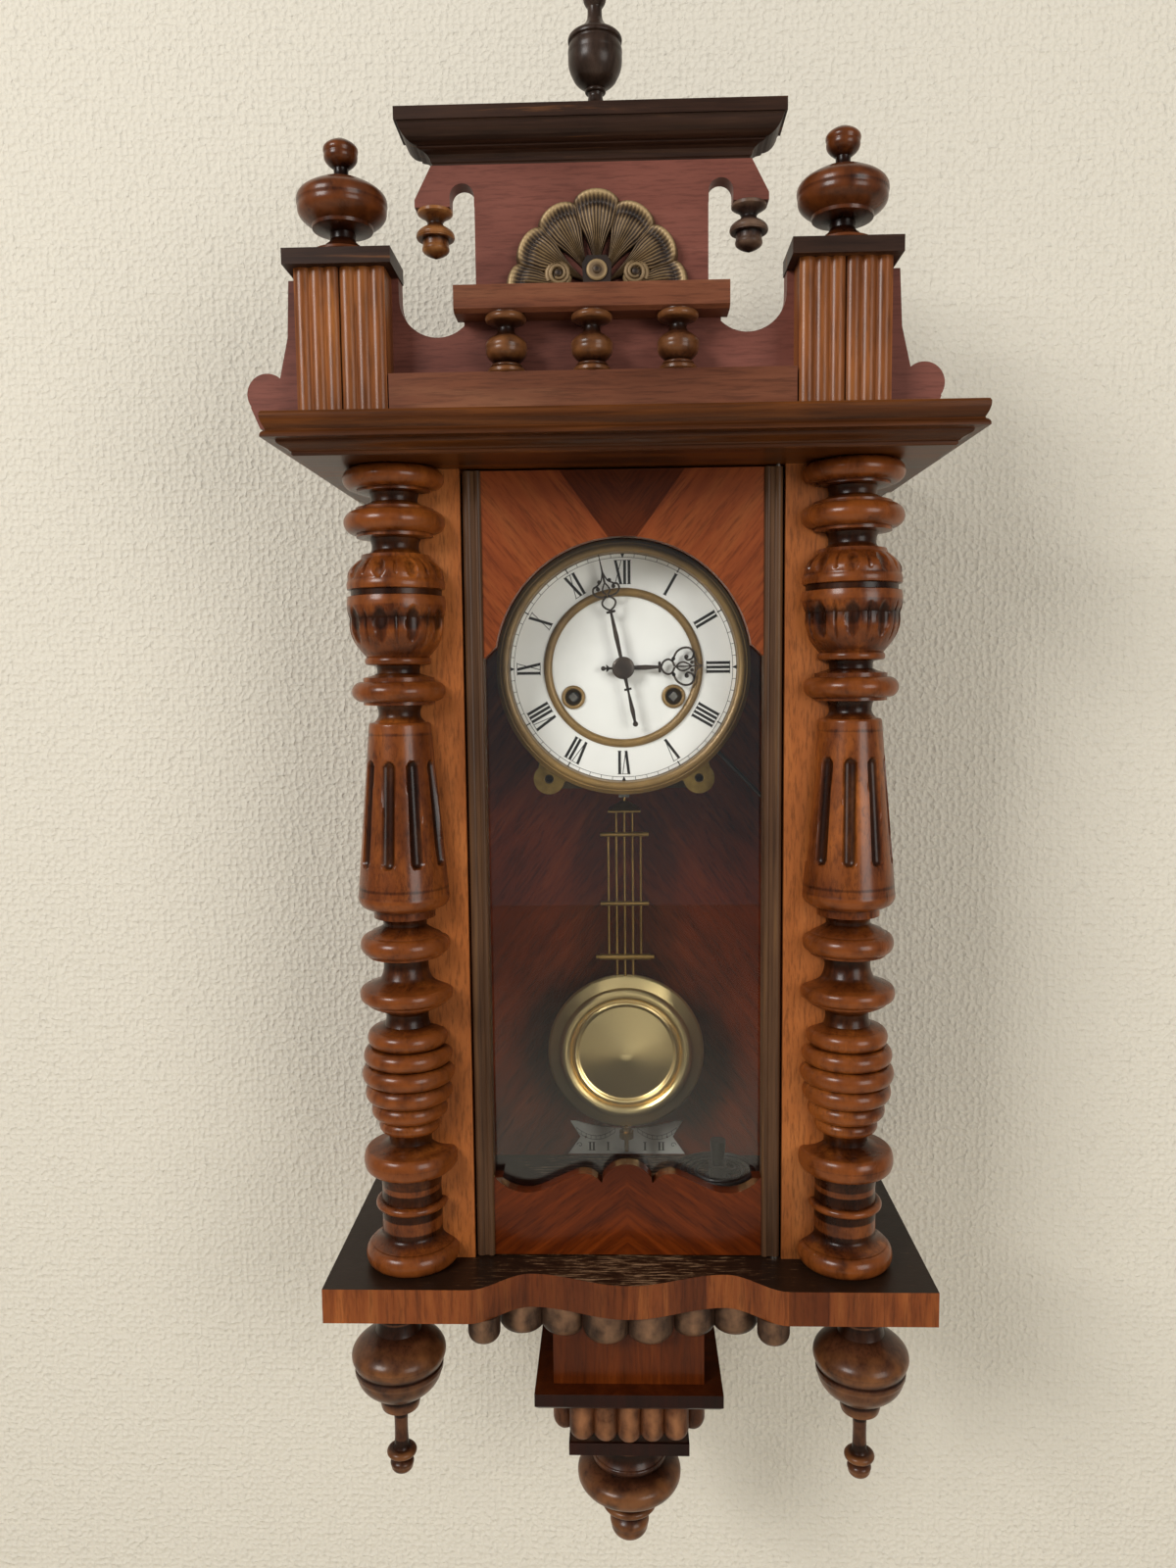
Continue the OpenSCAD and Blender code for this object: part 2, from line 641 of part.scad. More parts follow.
module crest_finial() {
    color("#1d1613") on_crest() translate([3, y_crest + 1, crest_h + crown_h]) turned() {
        fillet(0, 3, 9);
        swell(3, 14, 8, 3.6);
        ring(14, 5.5, 1.4);
        bulge(14, 36, 5, 15.2, 1);
        fillet(36, 38, 13.6);
        ring(39, 15.2, 1.8);
        swell(40, 52, 12.6, 4);
        fillet(50, 60, 4.2);
        translate([0, 64]) circle(6.2, $fn = 36);
    }
}
module acorn_drops() {
    color("#9c5a2a") on_crest() for (s = [-1, 1])
        translate([s * 88, y_crest + crest_t / 2, crest_h - 22]) turned() {
            fillet(-1.6, 0, 9.9);
            bulge(-6.4, -1.4, 5.4, 9.2, 0.3);
            fillet(-9, -6, 4.4);
            bulge(-13.6, -8.4, 9.8, 4.8, 1.4);
            ring(-14.2, 10.8, 1.5);
            bulge(-26, -15, 2.6, 7.4, 2.3);
        }
}

// Door: it turns on two steel pins set in the base and the cornice
module stile_section() {
    // Reeded front with two beads; the outer one is round about the door pins
    w = stile_w;
    translate([pivot_in, pivot_in]) circle(pivot_in, $fn = 32);
    translate([0, pivot_in]) square([w, stile_d - pivot_in]);
    translate([pivot_in, 0.9]) square([w - pivot_in - 1, pivot_in]);
    translate([w - 2.1, 2.1]) circle(2.1, $fn = 32);
}
module door_stiles() {
    color("#3e2a1e") for (s = [-1, 1]) difference() {
        translate([s * door_half, y_case, door_z0]) linear_extrude(door_z1 - door_z0)
            scale([-s, 1]) difference() {
                stile_section();
                translate([stile_w - rebate, glass_y - y_case]) square([rebate + 1, stile_d]);
            }
        if (s > 0) {
            translate([hinge_x, hinge_y, door_z0 - 1]) cylinder(r = pin_r + run_gap, h = 13);
            translate([hinge_x, hinge_y, door_z1 - 12]) cylinder(r = pin_r + run_gap, h = 13);
        }
    }
}
rebate = 4;
module door_mask() {
    half = sight_w / 2;
    color("#7a2f16") difference() {
        slab(y_case + panel_in, veneer_t) difference() {
            translate([-half, z_dial + 4]) square([2 * half, door_z1 - z_dial - 4]);
            translate([0, z_dial]) circle(arch_r, $fn = 120);
            translate([0, z_dial]) mirror_x() polygon([[arch_r - 1, 0], [arch_r - 1, 13], [half + 1, 5], [half + 1, 0]]);
        }
    }
}
// Wavy top of the lower door panel: a flat, a dip, a hump and the middle hump, mirrored
apron_line = concat([[83, 51], [77, 51]], arc([62, 66], 25, -38, -110, 6),
    arc([27, 40], 13.5, 60, 148, 5), arc([0, 42.4], 17, 28, 90, 5));
module door_apron() {
    half = sight_w / 2;
    line = [for (p = apron_line) [min(p[0], half), p[1]]];
    color("#8f4a22") slab(y_case + panel_in, veneer_t)
        translate([0, z_floor]) polygon(concat([[-half, door_gap], [half, door_gap], [half, 51]],
            line, [for (p = reversed(line)) [-p[0], p[1]]], [[-half, 51]]));
}
module door_glass() {
    half = sight_w / 2 + rebate;
    color([0.8, 0.85, 0.85, 0.3]) box([-half, glass_y, door_z0], [half, glass_y + glass_t, door_z1]);
}
module door_pins() {
    color("silver") for (z = [z_floor - 10, z_soffit - 11]) translate([hinge_x, hinge_y, z]) {
        cylinder(r = pin_r, h = 21);
        if (z < z_dial) translate([0, 0, 10]) cylinder(r = pin_r + 1.2, h = door_gap - 0.1);
    }
}

// Movement frame
ear_x = 48.5;
ear_drop = 71;
arm_w = 7;
module movement_bracket() {
    color("#2e2c2a") at_dial() {
        difference() {
            box([-62, y_back_front - 4, -ear_drop - 15], [62, y_back_front, -ear_drop + 15]);
            for (x = [-56, 56]) bar_y(x, -ear_drop, 2.2, y_back_front - 5, y_back_front + 1);
        }
        for (s = [-1, 1]) translate([s * ear_x, 0, 0]) difference() {
            box([-arm_w / 2, y_train, -ear_drop - 5], [arm_w / 2, y_back_front - 4, -ear_drop + 5]);
            bar_y(0, -ear_drop, 2.4, y_train - 1, y_train + 14);
        }
    }
}
plate_half = 66;
module plate_outline() {
    polygon([[-plate_half, -36], [-plate_half, 34], [-50, 52], [50, 52], [plate_half, 34],
        [plate_half, -36], [60, -54], [-60, -54]]);
}
pillar_at = [[-58, -47], [58, -47], [-54, 40], [54, 40]];
pivots = [[0, 0], going, strike, third, escape, pin_at, warning_at, fly_at];
module pivot_hole(p, r) { bar_y(p[0], p[1], r + run_gap, y_plate - 1, y_rear + 1); }
module movement_plates() {
    color("goldenrod") at_dial() difference() {
        union() {
            slab(y_plate, plate_t) {
                plate_outline();
                for (s = [-1, 1]) {
                    polygon([[s * 34, -50], [s * 52, -50], [s * 56, -66], [s * 42, -66]]);
                    translate([s * ear_x, -ear_drop]) circle(10);
                    translate([s * (ear_x - 7), -ear_drop + 3]) circle(6);
                }
            }
            slab(y_back, plate_t) plate_outline();
            bar_y(hammer_at[0], hammer_at[1], 2, y_rear - 1, y_rear + 6);
        }
        for (p = pivots) pivot_hole(p, p == going || p == strike ? winding_r : pivot_r);
        bar_y(0, 0, arbor_r + run_gap, y_plate - 1, y_plate + plate_t + 1);
        bar_y(0, anchor_z, pivot_r + run_gap, y_plate - 1, y_train + 1);
        bar_y(0, anchor_z, 4, y_back - 1, y_rear + 1);
        for (s = [-1, 1]) bar_y(s * ear_x, -ear_drop, 3, y_plate - 1, y_train + 1);
    }
}
module plate_pillars() {
    color("goldenrod") at_dial() {
        for (p = pillar_at) bar_y(p[0], p[1], 3.2, y_train, y_back);
        bar_y(0, -motion_dist, 1.2, y_plate - 7, y_plate);
    }
}
winding_r = 3;
module dial() {
    color("ivory") at_dial() {
        slab(y_dial, 1.6) difference() {
            circle(dial_r + 2, $fn = 120);
            circle(inner_ring_r - 2.5, $fn = 96);
        }
        slab(y_dial + 0.6, 1) difference() {
            circle(inner_ring_r - 2.7, $fn = 96);
            circle(4.2);
            for (s = [-1, 1]) translate([s * winding_x, -winding_drop]) circle(6.4);
        }
    }
}
module inner_ring() {
    mid = (inner_ring_r + centre_r) / 2;
    color("darkgoldenrod") at_dial() translate([0, y_dial, 0]) rotate([90, 0, 0]) {
        rotate_extrude($fn = 96) intersection() {
            translate([mid, 0]) circle((inner_ring_r - centre_r) / 2, $fn = 32);
            translate([0, 0]) square([80, 3]);
        }
    }
}
// Bezel: an ogee ring with a sheet pan behind the dial and four feet on the front plate
module bezel() {
    pan_y = y_dial + 1.6;
    color("darkgoldenrod") at_dial() {
        difference() {
            translate([0, pan_y + 1, 0]) rotate([90, 0, 0]) rotate_extrude($fn = 120)
                polygon(concat([[5, 0], [bezel_r - 0.4, 0]], arc([bezel_r - 2.6, 6], 2.6, -20, 60, 5),
                    [[bezel_r - 2.6, 10]], arc([bezel_r - 5.8, 9.2], 2.6, 20, 150, 6),
                    [[dial_r + 0.3, 5.4], [dial_r, 3], [dial_r, 2.8], [dial_r + 2.2, 2.7], [dial_r + 2.2, 1], [5, 1]]));
            for (s = [-1, 1]) bar_y(s * winding_x, -winding_drop, 7, pan_y - 1, pan_y + 2);
        }
        for (s = [-1, 1], z = [-40, 36]) bar_y(s * 50, z, 2, pan_y + 0.9, y_plate);
    }
}

// Gears: straight-sided teeth, slimmer than the spaces, so that every pair turns freely
function gear(n, m, add, ded, phase) = [for (i = [0 : n - 1], k = [0 : 3])
    let (a = (i + [-0.22, -0.11, 0.11, 0.22][k]) * 360 / n + phase,
        r = n * m / 2 + m * (k == 1 || k == 2 ? add : -ded)) r * [cos(a), sin(a)]];
module wheel_flat(n, m, phase, spokes = 4, rim = 2.4, hub = 4) {
    r = n * m / 2;
    difference() {
        polygon(gear(n, m, 0.95, 1.5, phase));
        if (spokes > 0) difference() {
            circle(r - 1.5 * m - rim);
            circle(hub);
            for (i = [0 : spokes - 1]) rotate(i * 360 / spokes + 20) translate([0, -1]) square([r, 2]);
        }
    }
}
module wheel(p, n, m, phase, y, t, spokes = 4, hub = 4) {
    translate([p[0], 0, p[1]]) slab(y, t) wheel_flat(n, m, phase, spokes, max(1.2, 2.6 * m), hub);
}
module pinion(p, n, m, phase, y, t) {
    translate([p[0], 0, p[1]]) slab(y, t) polygon(gear(n, m, 0.7, 1.3, phase));
}
module arbor(p, r, y0, y1) {
    bar_y(p[0], p[1], r, y0, y1);
    bar_y(p[0], p[1], pivot_r, y_plate, y_rear);
}
function toward(p, q) = atan2(q[1] - p[1], q[0] - p[0]);
// A wheel has a tooth, and its pinion a gap, on the line between their centres
function wheel_phase(p, q) = toward(p, q);
function pinion_phase(p, q, n) = toward(p, q) + 180 / n;
o = [0, 0];
y_centre = y_train + 1;
y_strike_great = y_train + 4;
y_going_great = y_train + 36.5;
y_third = y_train + 4.8;
y_escape = y_train + 34;
y_pin = y_train + 40.5;
y_warning = y_train + 20;
great_t = 2.5;

// A barrel is a closed drum on its great wheel, bored for the winding arbor
module barrel(p, q, y_drum, y_wheel, len) {
    at_dial() difference() {
        union() {
            bar_y(p[0], p[1], barrel_r, y_drum, y_drum + len, 72);
            wheel(p, great_teeth, great_m, wheel_phase(p, q), y_wheel, great_t, 0);
        }
        bar_y(p[0], p[1], winding_r + run_gap, y_plate, y_rear);
        bar_y(p[0], p[1], barrel_r - 1.5, y_drum + 1.5, y_drum + len - 1.5, 72);
    }
}
module going_barrel() { color("goldenrod") barrel(going, o, y_train + 8, y_going_great, 29); }
module strike_barrel() { color("goldenrod") barrel(strike, pin_at, y_strike_great + 1, y_strike_great, 29); }
// Winding arbor: a square at the front, a shaft through both plates and a ratchet wheel
module winding_arbor(p, y_ratchet) {
    at_dial() {
        bar_y(p[0], p[1], winding_r, y_plate - 2, y_rear);
        translate([p[0], 0, p[1]]) slab(y_dial + 1.5, motion_gap - 3.4) rotate(45) square(4.4, center = true);
        translate([p[0], 0, p[1]]) slab(y_ratchet, 1.6)
            polygon([for (i = [0 : 35]) let (a = -i * 10, r = i % 2 == 0 ? 8.5 : 7.2) r * [cos(a), sin(a)]]);
    }
}
module going_arbor() { color("silver") winding_arbor(going, y_train + 5.6); }
module strike_arbor() { color("silver") winding_arbor(strike, y_back - 3.4); }
module centre_wheel() {
    color("goldenrod") at_dial() {
        wheel(o, centre_teeth, third_m, wheel_phase(o, third), y_centre, 1.5, 5);
        pinion(o, centre_leaves, great_m, pinion_phase(o, going, centre_leaves), y_going_great - 1, 5);
        bar_y(0, 0, arbor_r, y_dial - 9, y_going_great + 4);
        bar_y(0, 0, pivot_r, y_going_great, y_rear);
    }
}
module third_wheel() {
    color("goldenrod") at_dial() {
        wheel(third, third_teeth, escape_m, wheel_phase(third, escape), y_third, 1.2, 4, 3);
        pinion(third, third_leaves, third_m, pinion_phase(third, o, third_leaves), y_centre - 0.5, 2.6);
        arbor(third, 1.4, y_train + 0.4, y_back - 0.4);
    }
}
module escape_wheel() {
    n = escape_teeth;
    color("goldenrod") at_dial() {
        translate([escape[0], 0, escape[1]]) slab(y_escape, 1.2) difference() {
            polygon([for (i = [0 : n - 1], k = [0 : 2]) let (a = (i + [0, 0.12, 0.5][k]) * 360 / n,
                r = k < 2 ? escape_r : escape_r - 2.2) r * [cos(a), sin(a)]]);
            difference() {
                circle(escape_r - 3.6);
                circle(2.6);
                for (i = [0 : 1]) rotate(i * 90 + 10) square([2 * escape_r, 1.6], center = true);
            }
        }
        pinion(escape, escape_leaves, escape_m, pinion_phase(escape, third, escape_leaves), y_third - 0.7, 2.6);
        arbor(escape, 1.6, y_train + 0.4, y_train + 3);
        arbor(escape, 1.6, y_back - 3, y_back - 0.4);
    }
}
// Anchor: two pallets just clear of the wheel tips, and the crutch that holds the pendulum rod
crutch_len = 128;
module anchor() {
    tip = escape_r + 0.8;
    hold = 1.5 + 0.15;
    color("silver") at_dial() {
        slab(y_escape - 0.6, 2.4) {
            translate([0, anchor_z]) circle(3.4);
            mirror_x() difference() {
                polygon([[0, anchor_z + 3], [0, anchor_z - 3], [6.2, anchor_z - 6],
                    escape + tip * [cos(44), sin(44)], escape + tip * [cos(33), sin(33)],
                    [12.6, anchor_z - 5], [6, anchor_z + 2]]);
                translate(escape) circle(tip, $fn = 90);
            }
        }
        bar_y(0, anchor_z, pivot_r, y_plate, cheek_y[0] - 1.5);
        bar_y(0, anchor_z, 1.3, y_train + 0.4, y_back + 1);
        bar_y(0, anchor_z, 3, y_rear + 0.8, y_rear + 3.4);
        slab(y_rear + 1.2, 1.6) translate([-1.5, anchor_z - crutch_len]) square([3, crutch_len]);
        for (s = [-1, 1]) translate([s * (hold + 1), 0, anchor_z - crutch_len])
            box([-1, y_rear + 1.2, 0], [1, y_pend + 3, 4]);
        box([-hold - 2, y_rear + 1.2, anchor_z - crutch_len], [hold + 2, y_rear + 2.8, anchor_z - crutch_len + 4]);
    }
}
// Motion work behind the dial
minute_at = [0, -motion_dist];
y_motion = y_plate - 2.2;
y_hour = y_motion - 3.4;
module cannon_pinion() {
    color("goldenrod") at_dial() difference() {
        union() {
            pinion(o, cannon_teeth, motion_m, pinion_phase(o, minute_at, cannon_teeth), y_motion - 0.4, 2.2);
            bar_y(0, 0, hand_r, y_dial - 8.4, y_motion);
        }
        bar_y(0, 0, arbor_r + 0.01, y_dial - 12, y_plate);
    }
}
module minute_wheel() {
    color("goldenrod") at_dial() difference() {
        union() {
            wheel(minute_at, minute_teeth, motion_m, wheel_phase(minute_at, o), y_motion, 1.4, 0);
            pinion(minute_at, minute_leaves, hour_m, pinion_phase(minute_at, o, minute_leaves), y_hour - 0.3, 3.8);
        }
        bar_y(minute_at[0], minute_at[1], 1.2 + run_gap, y_dial, y_plate + 1);
    }
}
module hour_wheel() {
    color("goldenrod") at_dial() difference() {
        union() {
            wheel(o, hour_teeth, hour_m, wheel_phase(o, minute_at), y_hour, 1.4, 0);
            bar_y(0, 0, hour_pipe_r, y_dial - 5.4, y_hour);
        }
        bar_y(0, 0, hand_r + run_gap, y_dial - 12, y_plate);
    }
}

// Hands: a tapering blade with a scrolled ornament of rings and points
module blade(x0, x1, w0, w1) { polygon([[x0, -w0 / 2], [x1, -w1 / 2], [x1, w1 / 2], [x0, w0 / 2]]); }
module curl(x, z, r, w) { translate([x, z]) difference() { circle(r, $fn = 32); circle(r - w, $fn = 32); } }
module point_tip(x0, x1, w) { polygon([[x0, -w / 2], [x1, 0], [x0, w / 2]]); }
module minute_shape() {
    circle(6.4);
    blade(0, 39, 2.2, 3.2);
    translate([40.5, 0]) circle(2.4, $fn = 24);
    mirror([0, 1]) minute_side();
    minute_side();
    blade(40, 58, 1.4, 1.2);
    point_tip(57, 71.2, 1.7);
    blade(-36, -3, 3, 1.6);
    translate([-36, 0]) circle(1.9, $fn = 24);
    translate([-13, 0]) square([1.6, 6], center = true);
}
module minute_side() {
    curl(46, 2.6, 3.2, 0.8);
    curl(52, 4.3, 3.1, 0.8);
    translate([56.4, 5.2]) circle(1.5, $fn = 20);
}
module hour_shape() {
    circle(7);
    blade(0, 24, 2.6, 3.4);
    translate([24.5, 0]) square([2, 6], center = true);
    mirror([0, 1]) hour_side();
    hour_side();
    blade(24, 41, 1.8, 1.4);
    point_tip(40, 53, 3.2);
    blade(-15, -5, 1.4, 3);
    translate([-15.6, 0]) circle(1.7, $fn = 24);
}
module hour_side() {
    curl(30.5, 3.2, 3.9, 1);
    curl(37.5, 6.2, 5.4, 1.1);
    curl(39.4, 2.4, 3, 0.9);
    translate([32.5, 8.6]) circle(1.5, $fn = 20);
}
module hand(y, t, turn, bore) {
    at_dial() slab(y, t) rotate(turn) difference() {
        children();
        circle(bore + 0.01, $fn = 48);
    }
}
module minute_hand() { color("#1c1a1a") hand(y_dial - 8.2, 0.9, minute_turn, hand_r) minute_shape(); }
module hour_hand() { color("#1c1a1a") hand(y_dial - 5.2, 0.9, hour_turn, hour_pipe_r) hour_shape(); }

// Striking train
pins_r = pin_teeth * warning_m / 2 - 1.4;
module pin_wheel() {
    color("goldenrod") at_dial() {
        wheel(pin_at, pin_teeth, warning_m, wheel_phase(pin_at, warning_at), y_pin, 1.4, 4);
        pinion(pin_at, centre_leaves, great_m, pinion_phase(pin_at, strike, centre_leaves), y_strike_great - 1, 4.6);
        arbor(pin_at, 1.6, y_train + 0.4, y_back - 0.4);
        for (i = [0 : 7]) bar_y(pin_at[0] + pins_r * cos(45 * i), pin_at[1] + pins_r * sin(45 * i), 0.6, y_pin - 3, y_pin + 1, 16);
    }
}
module warning_wheel() {
    color("goldenrod") at_dial() {
        wheel(warning_at, warning_teeth, fly_m, wheel_phase(warning_at, fly_at), y_warning, 1.2, 4, 3);
        pinion(warning_at, warning_leaves, warning_m, pinion_phase(warning_at, pin_at, warning_leaves), y_pin - 0.6, 2.8);
        arbor(warning_at, 1.3, y_train + 0.4, y_back - 0.4);
    }
}
module fly() {
    color("goldenrod") at_dial() {
        pinion(fly_at, fly_leaves, fly_m, pinion_phase(fly_at, warning_at, fly_leaves), y_warning - 0.8, 2.8);
        arbor(fly_at, 1.1, y_train + 0.4, y_back - 0.4);
        translate([fly_at[0], 0, fly_at[1]]) box([-9.5, y_warning + 4, -0.3], [9.5, y_warning + 17, 0.3]);
    }
}
// Gong: one flat spiral of round wire held in a post
coil_z = 6;
coil_pitch = 5.5;
coil_in = 12;
coil_outer = coil_in + coil_pitch * gong_turns;
post_half = 6;
bend_r = 4;
coil_start = [post_half + 2 * wire_r + bend_r, bend_r];
coil_a0 = atan2(coil_start[1], coil_start[0]);
function coil_at(t) = (norm(coil_start) + (coil_outer - norm(coil_start)) * t / gong_turns)
    * [cos(coil_a0 + 360 * t), sin(coil_a0 + 360 * t)];
coil_path = concat([[post_half, 0], [post_half + 2 * wire_r, 0]],
    [for (i = [1 : 3]) [post_half + 2 * wire_r, bend_r] + bend_r * [cos(-90 + 22.5 * i), sin(-90 + 22.5 * i)]],
    [for (i = [0 : 24 * gong_turns]) coil_at(i / 24)]);
coil_gap = min([for (i = [5 : len(coil_path) - 25], k = [12 : 36])
    if (i + k < len(coil_path)) norm(coil_path[i] - coil_path[i + k])]) - 2 * wire_r;
echo(least_gap_between_gong_turns = coil_gap);
function side_dir(i) = let (a = coil_path[max(i - 1, 0)], b = coil_path[min(i + 1, len(coil_path) - 1)],
    d = (b - a) / norm(b - a)) [-d[1], d[0]];
module gong_coil() {
    n = len(coil_path);
    pts = [for (i = [0 : n - 1], k = [0 : 5]) let (c = cos(60 * k), s = sin(60 * k), d = side_dir(i))
        [coil_path[i][0] + wire_r * c * d[0], coil_path[i][1] + wire_r * c * d[1], wire_r * s]];
    sides = [for (i = [0 : n - 2], k = [0 : 5], h = [0, 1]) let (a = 6 * i + k, b = 6 * i + (k + 1) % 6)
        h == 0 ? [a, a + 6, b] : [b, a + 6, b + 6]];
    ends = concat([for (k = [1 : 4]) [0, k, k + 1]], [for (k = [1 : 4]) [6 * n - 6, 6 * n - 6 + k + 1, 6 * n - 6 + k]]);
    color("slategray") translate([gong_x, y_hammer, z_floor + coil_z]) polyhedron(pts, concat(sides, ends));
}
module gong_post() {
    color("#262422") translate([gong_x, y_hammer, z_floor]) {
        rotate_extrude() polygon([[0, 0], [9, 0], [9, 2], [5, 2.4], [5, 4], [0, 4]]);
        translate([-post_half, -post_half, 3]) cube([2 * post_half, 2 * post_half, 8]);
        translate([0, 0, 10]) cylinder(r1 = 4, r2 = 5.5, h = gong_h - 14);
        translate([0, 0, gong_h - 4.2]) cylinder(r = 5.5, h = 4.2);
    }
}

// Hammer: a long bent rod from the back of the movement down to the gong
hammer_at = [48, -40];
hammer_gap = 0.8;
hammer_x = gong_x + coil_outer + wire_r + hammer_gap;
module bent_rod(p, q, r) {
    d = q - p;
    translate([p[0], y_hammer, p[1]]) rotate([0, atan2(d[0], d[1]), 0]) cylinder(r = r, h = norm(d), $fn = 24);
    translate([q[0], y_hammer, q[1]]) sphere(r + 0.5, $fn = 24);
}
module hammer() {
    bend = [hammer_x + 5, -100];
    foot = [hammer_x + 5, z_floor + coil_z - z_dial];
    color("dimgray") at_dial() difference() {
        union() {
            bar_y(hammer_at[0], hammer_at[1], 5, y_rear + 0.6, y_rear + 5);
            bent_rod(hammer_at + [3, -3.1], bend, 1.3);
            bent_rod(bend, foot, 1.3);
            translate([hammer_x, y_hammer, foot[1]]) rotate([0, 90, 0]) cylinder(r = 4.5, h = 10.3);
        }
        bar_y(hammer_at[0], hammer_at[1], 2 + run_gap, y_rear - 1, y_rear + 8);
    }
}

// Pendulum: a brass chop on the suspension pin, a rod, the gridiron, the bob and its nut
chop_t = 3.4;
cheek_y = [y_pend - chop_t / 2 - 0.3, y_pend + chop_t / 2 + 0.3];
module suspension_cock() {
    color("goldenrod") translate([0, 0, z_pivot]) {
        difference() {
            union() {
                box([-7, cheek_y[0] - 3, -6], [7, cheek_y[0], 12]);
                box([-7, cheek_y[1], -6], [7, cheek_y[1] + 2.5, 12]);
                box([-7, cheek_y[0] - 3, 7], [7, cheek_y[1] + 2.5, 12]);
                for (s = [-1, 1]) translate([s * 11, 0, 0]) box([-4, y_rear, 7], [4, cheek_y[0], 12]);
                box([-15, cheek_y[0] - 3, 7], [15, cheek_y[0], 12]);
            }
            bar_y(0, 0, pivot_r + run_gap, y_rear, cheek_y[0] - 1.2);
        }
        bar_y(0, 0, 1, cheek_y[0] - 1, cheek_y[1] + 2.5);
    }
}
cap_z = z_dial - 92;
bar1_z = z_dial - 115.6;
bar2_z = z_dial - 164.8;
bar3_z = z_dial - 203.2;
rod_r = 1.6;
function grid_x(i) = i * grid_pitch;
module upright(x, z0, z1, r) { translate([x, y_pend, z0]) cylinder(r = r, h = z1 - z0, $fn = 24); }
module cross_bar(z, half, h) {
    translate([-half, y_pend, z]) rotate([0, 90, 0]) cylinder(r = h / 2, h = 2 * half, $fn = 32);
}
module pendulum_rods() {
    color("darkgoldenrod") difference() {
        union() {
            translate([-3.5, y_pend - chop_t / 2, z_pivot - 8]) cube([7, chop_t, 12]);
            translate([-2.5, y_pend - 0.25, z_pivot - 22]) cube([5, 0.5, 15]);
            translate([-3.5, y_pend - 1.5, z_pivot - 29]) cube([7, 3, 8]);
            upright(0, cap_z - 1, z_pivot - 28, 1.5);
            translate([0, y_pend, cap_z - 6.8]) rotate([0, 0, 45])
                rotate_extrude($fn = 4) polygon([[0, 0], [16, 0], [16, 1], [3, 6.8], [0, 6.8]]);
            for (i = [-1 : 1]) upright(grid_x(i), bar1_z, cap_z - 6, grid_r);
            for (i = [-2 : 2]) upright(grid_x(i), bar3_z, bar1_z, grid_r);
            for (i = [-1 : 1]) upright(grid_x(i), z_bob + bob_r - 6, bar3_z, grid_r);
            upright(0, z_bob - bob_r - 19, z_bob + bob_r, rod_r);
            cross_bar(bar1_z, 17, 3.4);
            cross_bar(bar2_z, 17, 3.4);
            cross_bar(bar3_z, 18, 4.6);
            cross_bar(bar3_z, 20.5, 3);
        }
        bar_y(0, z_pivot, 1 + run_gap, y_pend - 5, y_pend + 5);
    }
}
module pendulum_bob() {
    half = bob_t / 2;
    color("gold") difference() {
        translate([0, y_pend, z_bob]) rotate([90, 0, 0]) rotate_extrude($fn = 120) polygon(concat(
            [[0, -half], [bob_r * 0.55, -half + 2], [bob_r - 2, -2.2], [bob_r, -0.8], [bob_r, 0.8], [bob_r - 1.4, 2]],
            [[bob_r * 0.86, 4.4]], arc([bob_r * 0.775, 4.6], bob_r * 0.075, 0, 180, 8),
            [[bob_r * 0.69, 5.2]], arc([bob_r * 0.645, 5.4], bob_r * 0.03, 0, 180, 4),
            [[bob_r * 0.6, 5], [0, half]]));
        translate([0, y_pend, z_bob - bob_r - 1]) cylinder(r = rod_r + run_gap, h = 2 * bob_r + 2);
        for (i = [-1, 1]) translate([grid_x(i), y_pend, z_bob + bob_r - 6]) cylinder(r = grid_r, h = 8);
    }
}
module rating_nut() {
    color("goldenrod") translate([0, y_pend, z_bob - bob_r - 8.8]) difference() {
        union() {
            cylinder(r = 5.1, h = 5);
            cylinder(r = 3.4, h = 8.3);
        }
        translate([0, 0, -1]) cylinder(r = rod_r + run_gap, h = 12);
    }
}
// Beat plate: pointed ears and notched sides under a hollow top
module beat_plate() {
    w = beat_w / 2;
    color("ivory") difference() {
        slab(y_back_front - 1.2, 1.2) translate([0, beat_z]) difference() {
            polygon([[-w, 0], [w, 0], [w - 9, beat_h / 2 + 0.5], [w - 1.5, beat_h], [-w + 1.5, beat_h],
                [-w + 9, beat_h / 2 + 0.5]]);
            translate([0, beat_h + 112]) circle(118, $fn = 160);
        }
        for (s = [-1, 1]) bar_y(s * (w - 13), beat_z + beat_h / 2, 0.9, y_back_front - 3, y_back_front + 1, 16);
    }
}

back_board();
side_panels();
base_board();
base_gadroon();
cornice();
front_boards();
column_left();
column_right();
base_drops();
bracket_block();
bracket_gadroon();
bracket_drop();
hanger_plate();
crest_board();
crest_plinth();
crest_pedestals();
pedestal_caps();
pedestal_finials();
crest_ledge();
crest_balusters();
shell_ornament();
crest_cornice();
crest_finial();
acorn_drops();
door_stiles();
door_mask();
door_apron();
door_glass();
door_pins();
movement_bracket();
movement_plates();
plate_pillars();
dial();
inner_ring();
bezel();
going_barrel();
going_arbor();
strike_barrel();
strike_arbor();
centre_wheel();
third_wheel();
escape_wheel();
anchor();
minute_wheel();
hour_wheel();
cannon_pinion();
minute_hand();
hour_hand();
pin_wheel();
warning_wheel();
fly();
hammer();
gong_post();
gong_coil();
suspension_cock();
pendulum_rods();
pendulum_bob();
rating_nut();
beat_plate();
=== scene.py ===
import bpy
import bmesh
import math
from mathutils import Matrix, Vector


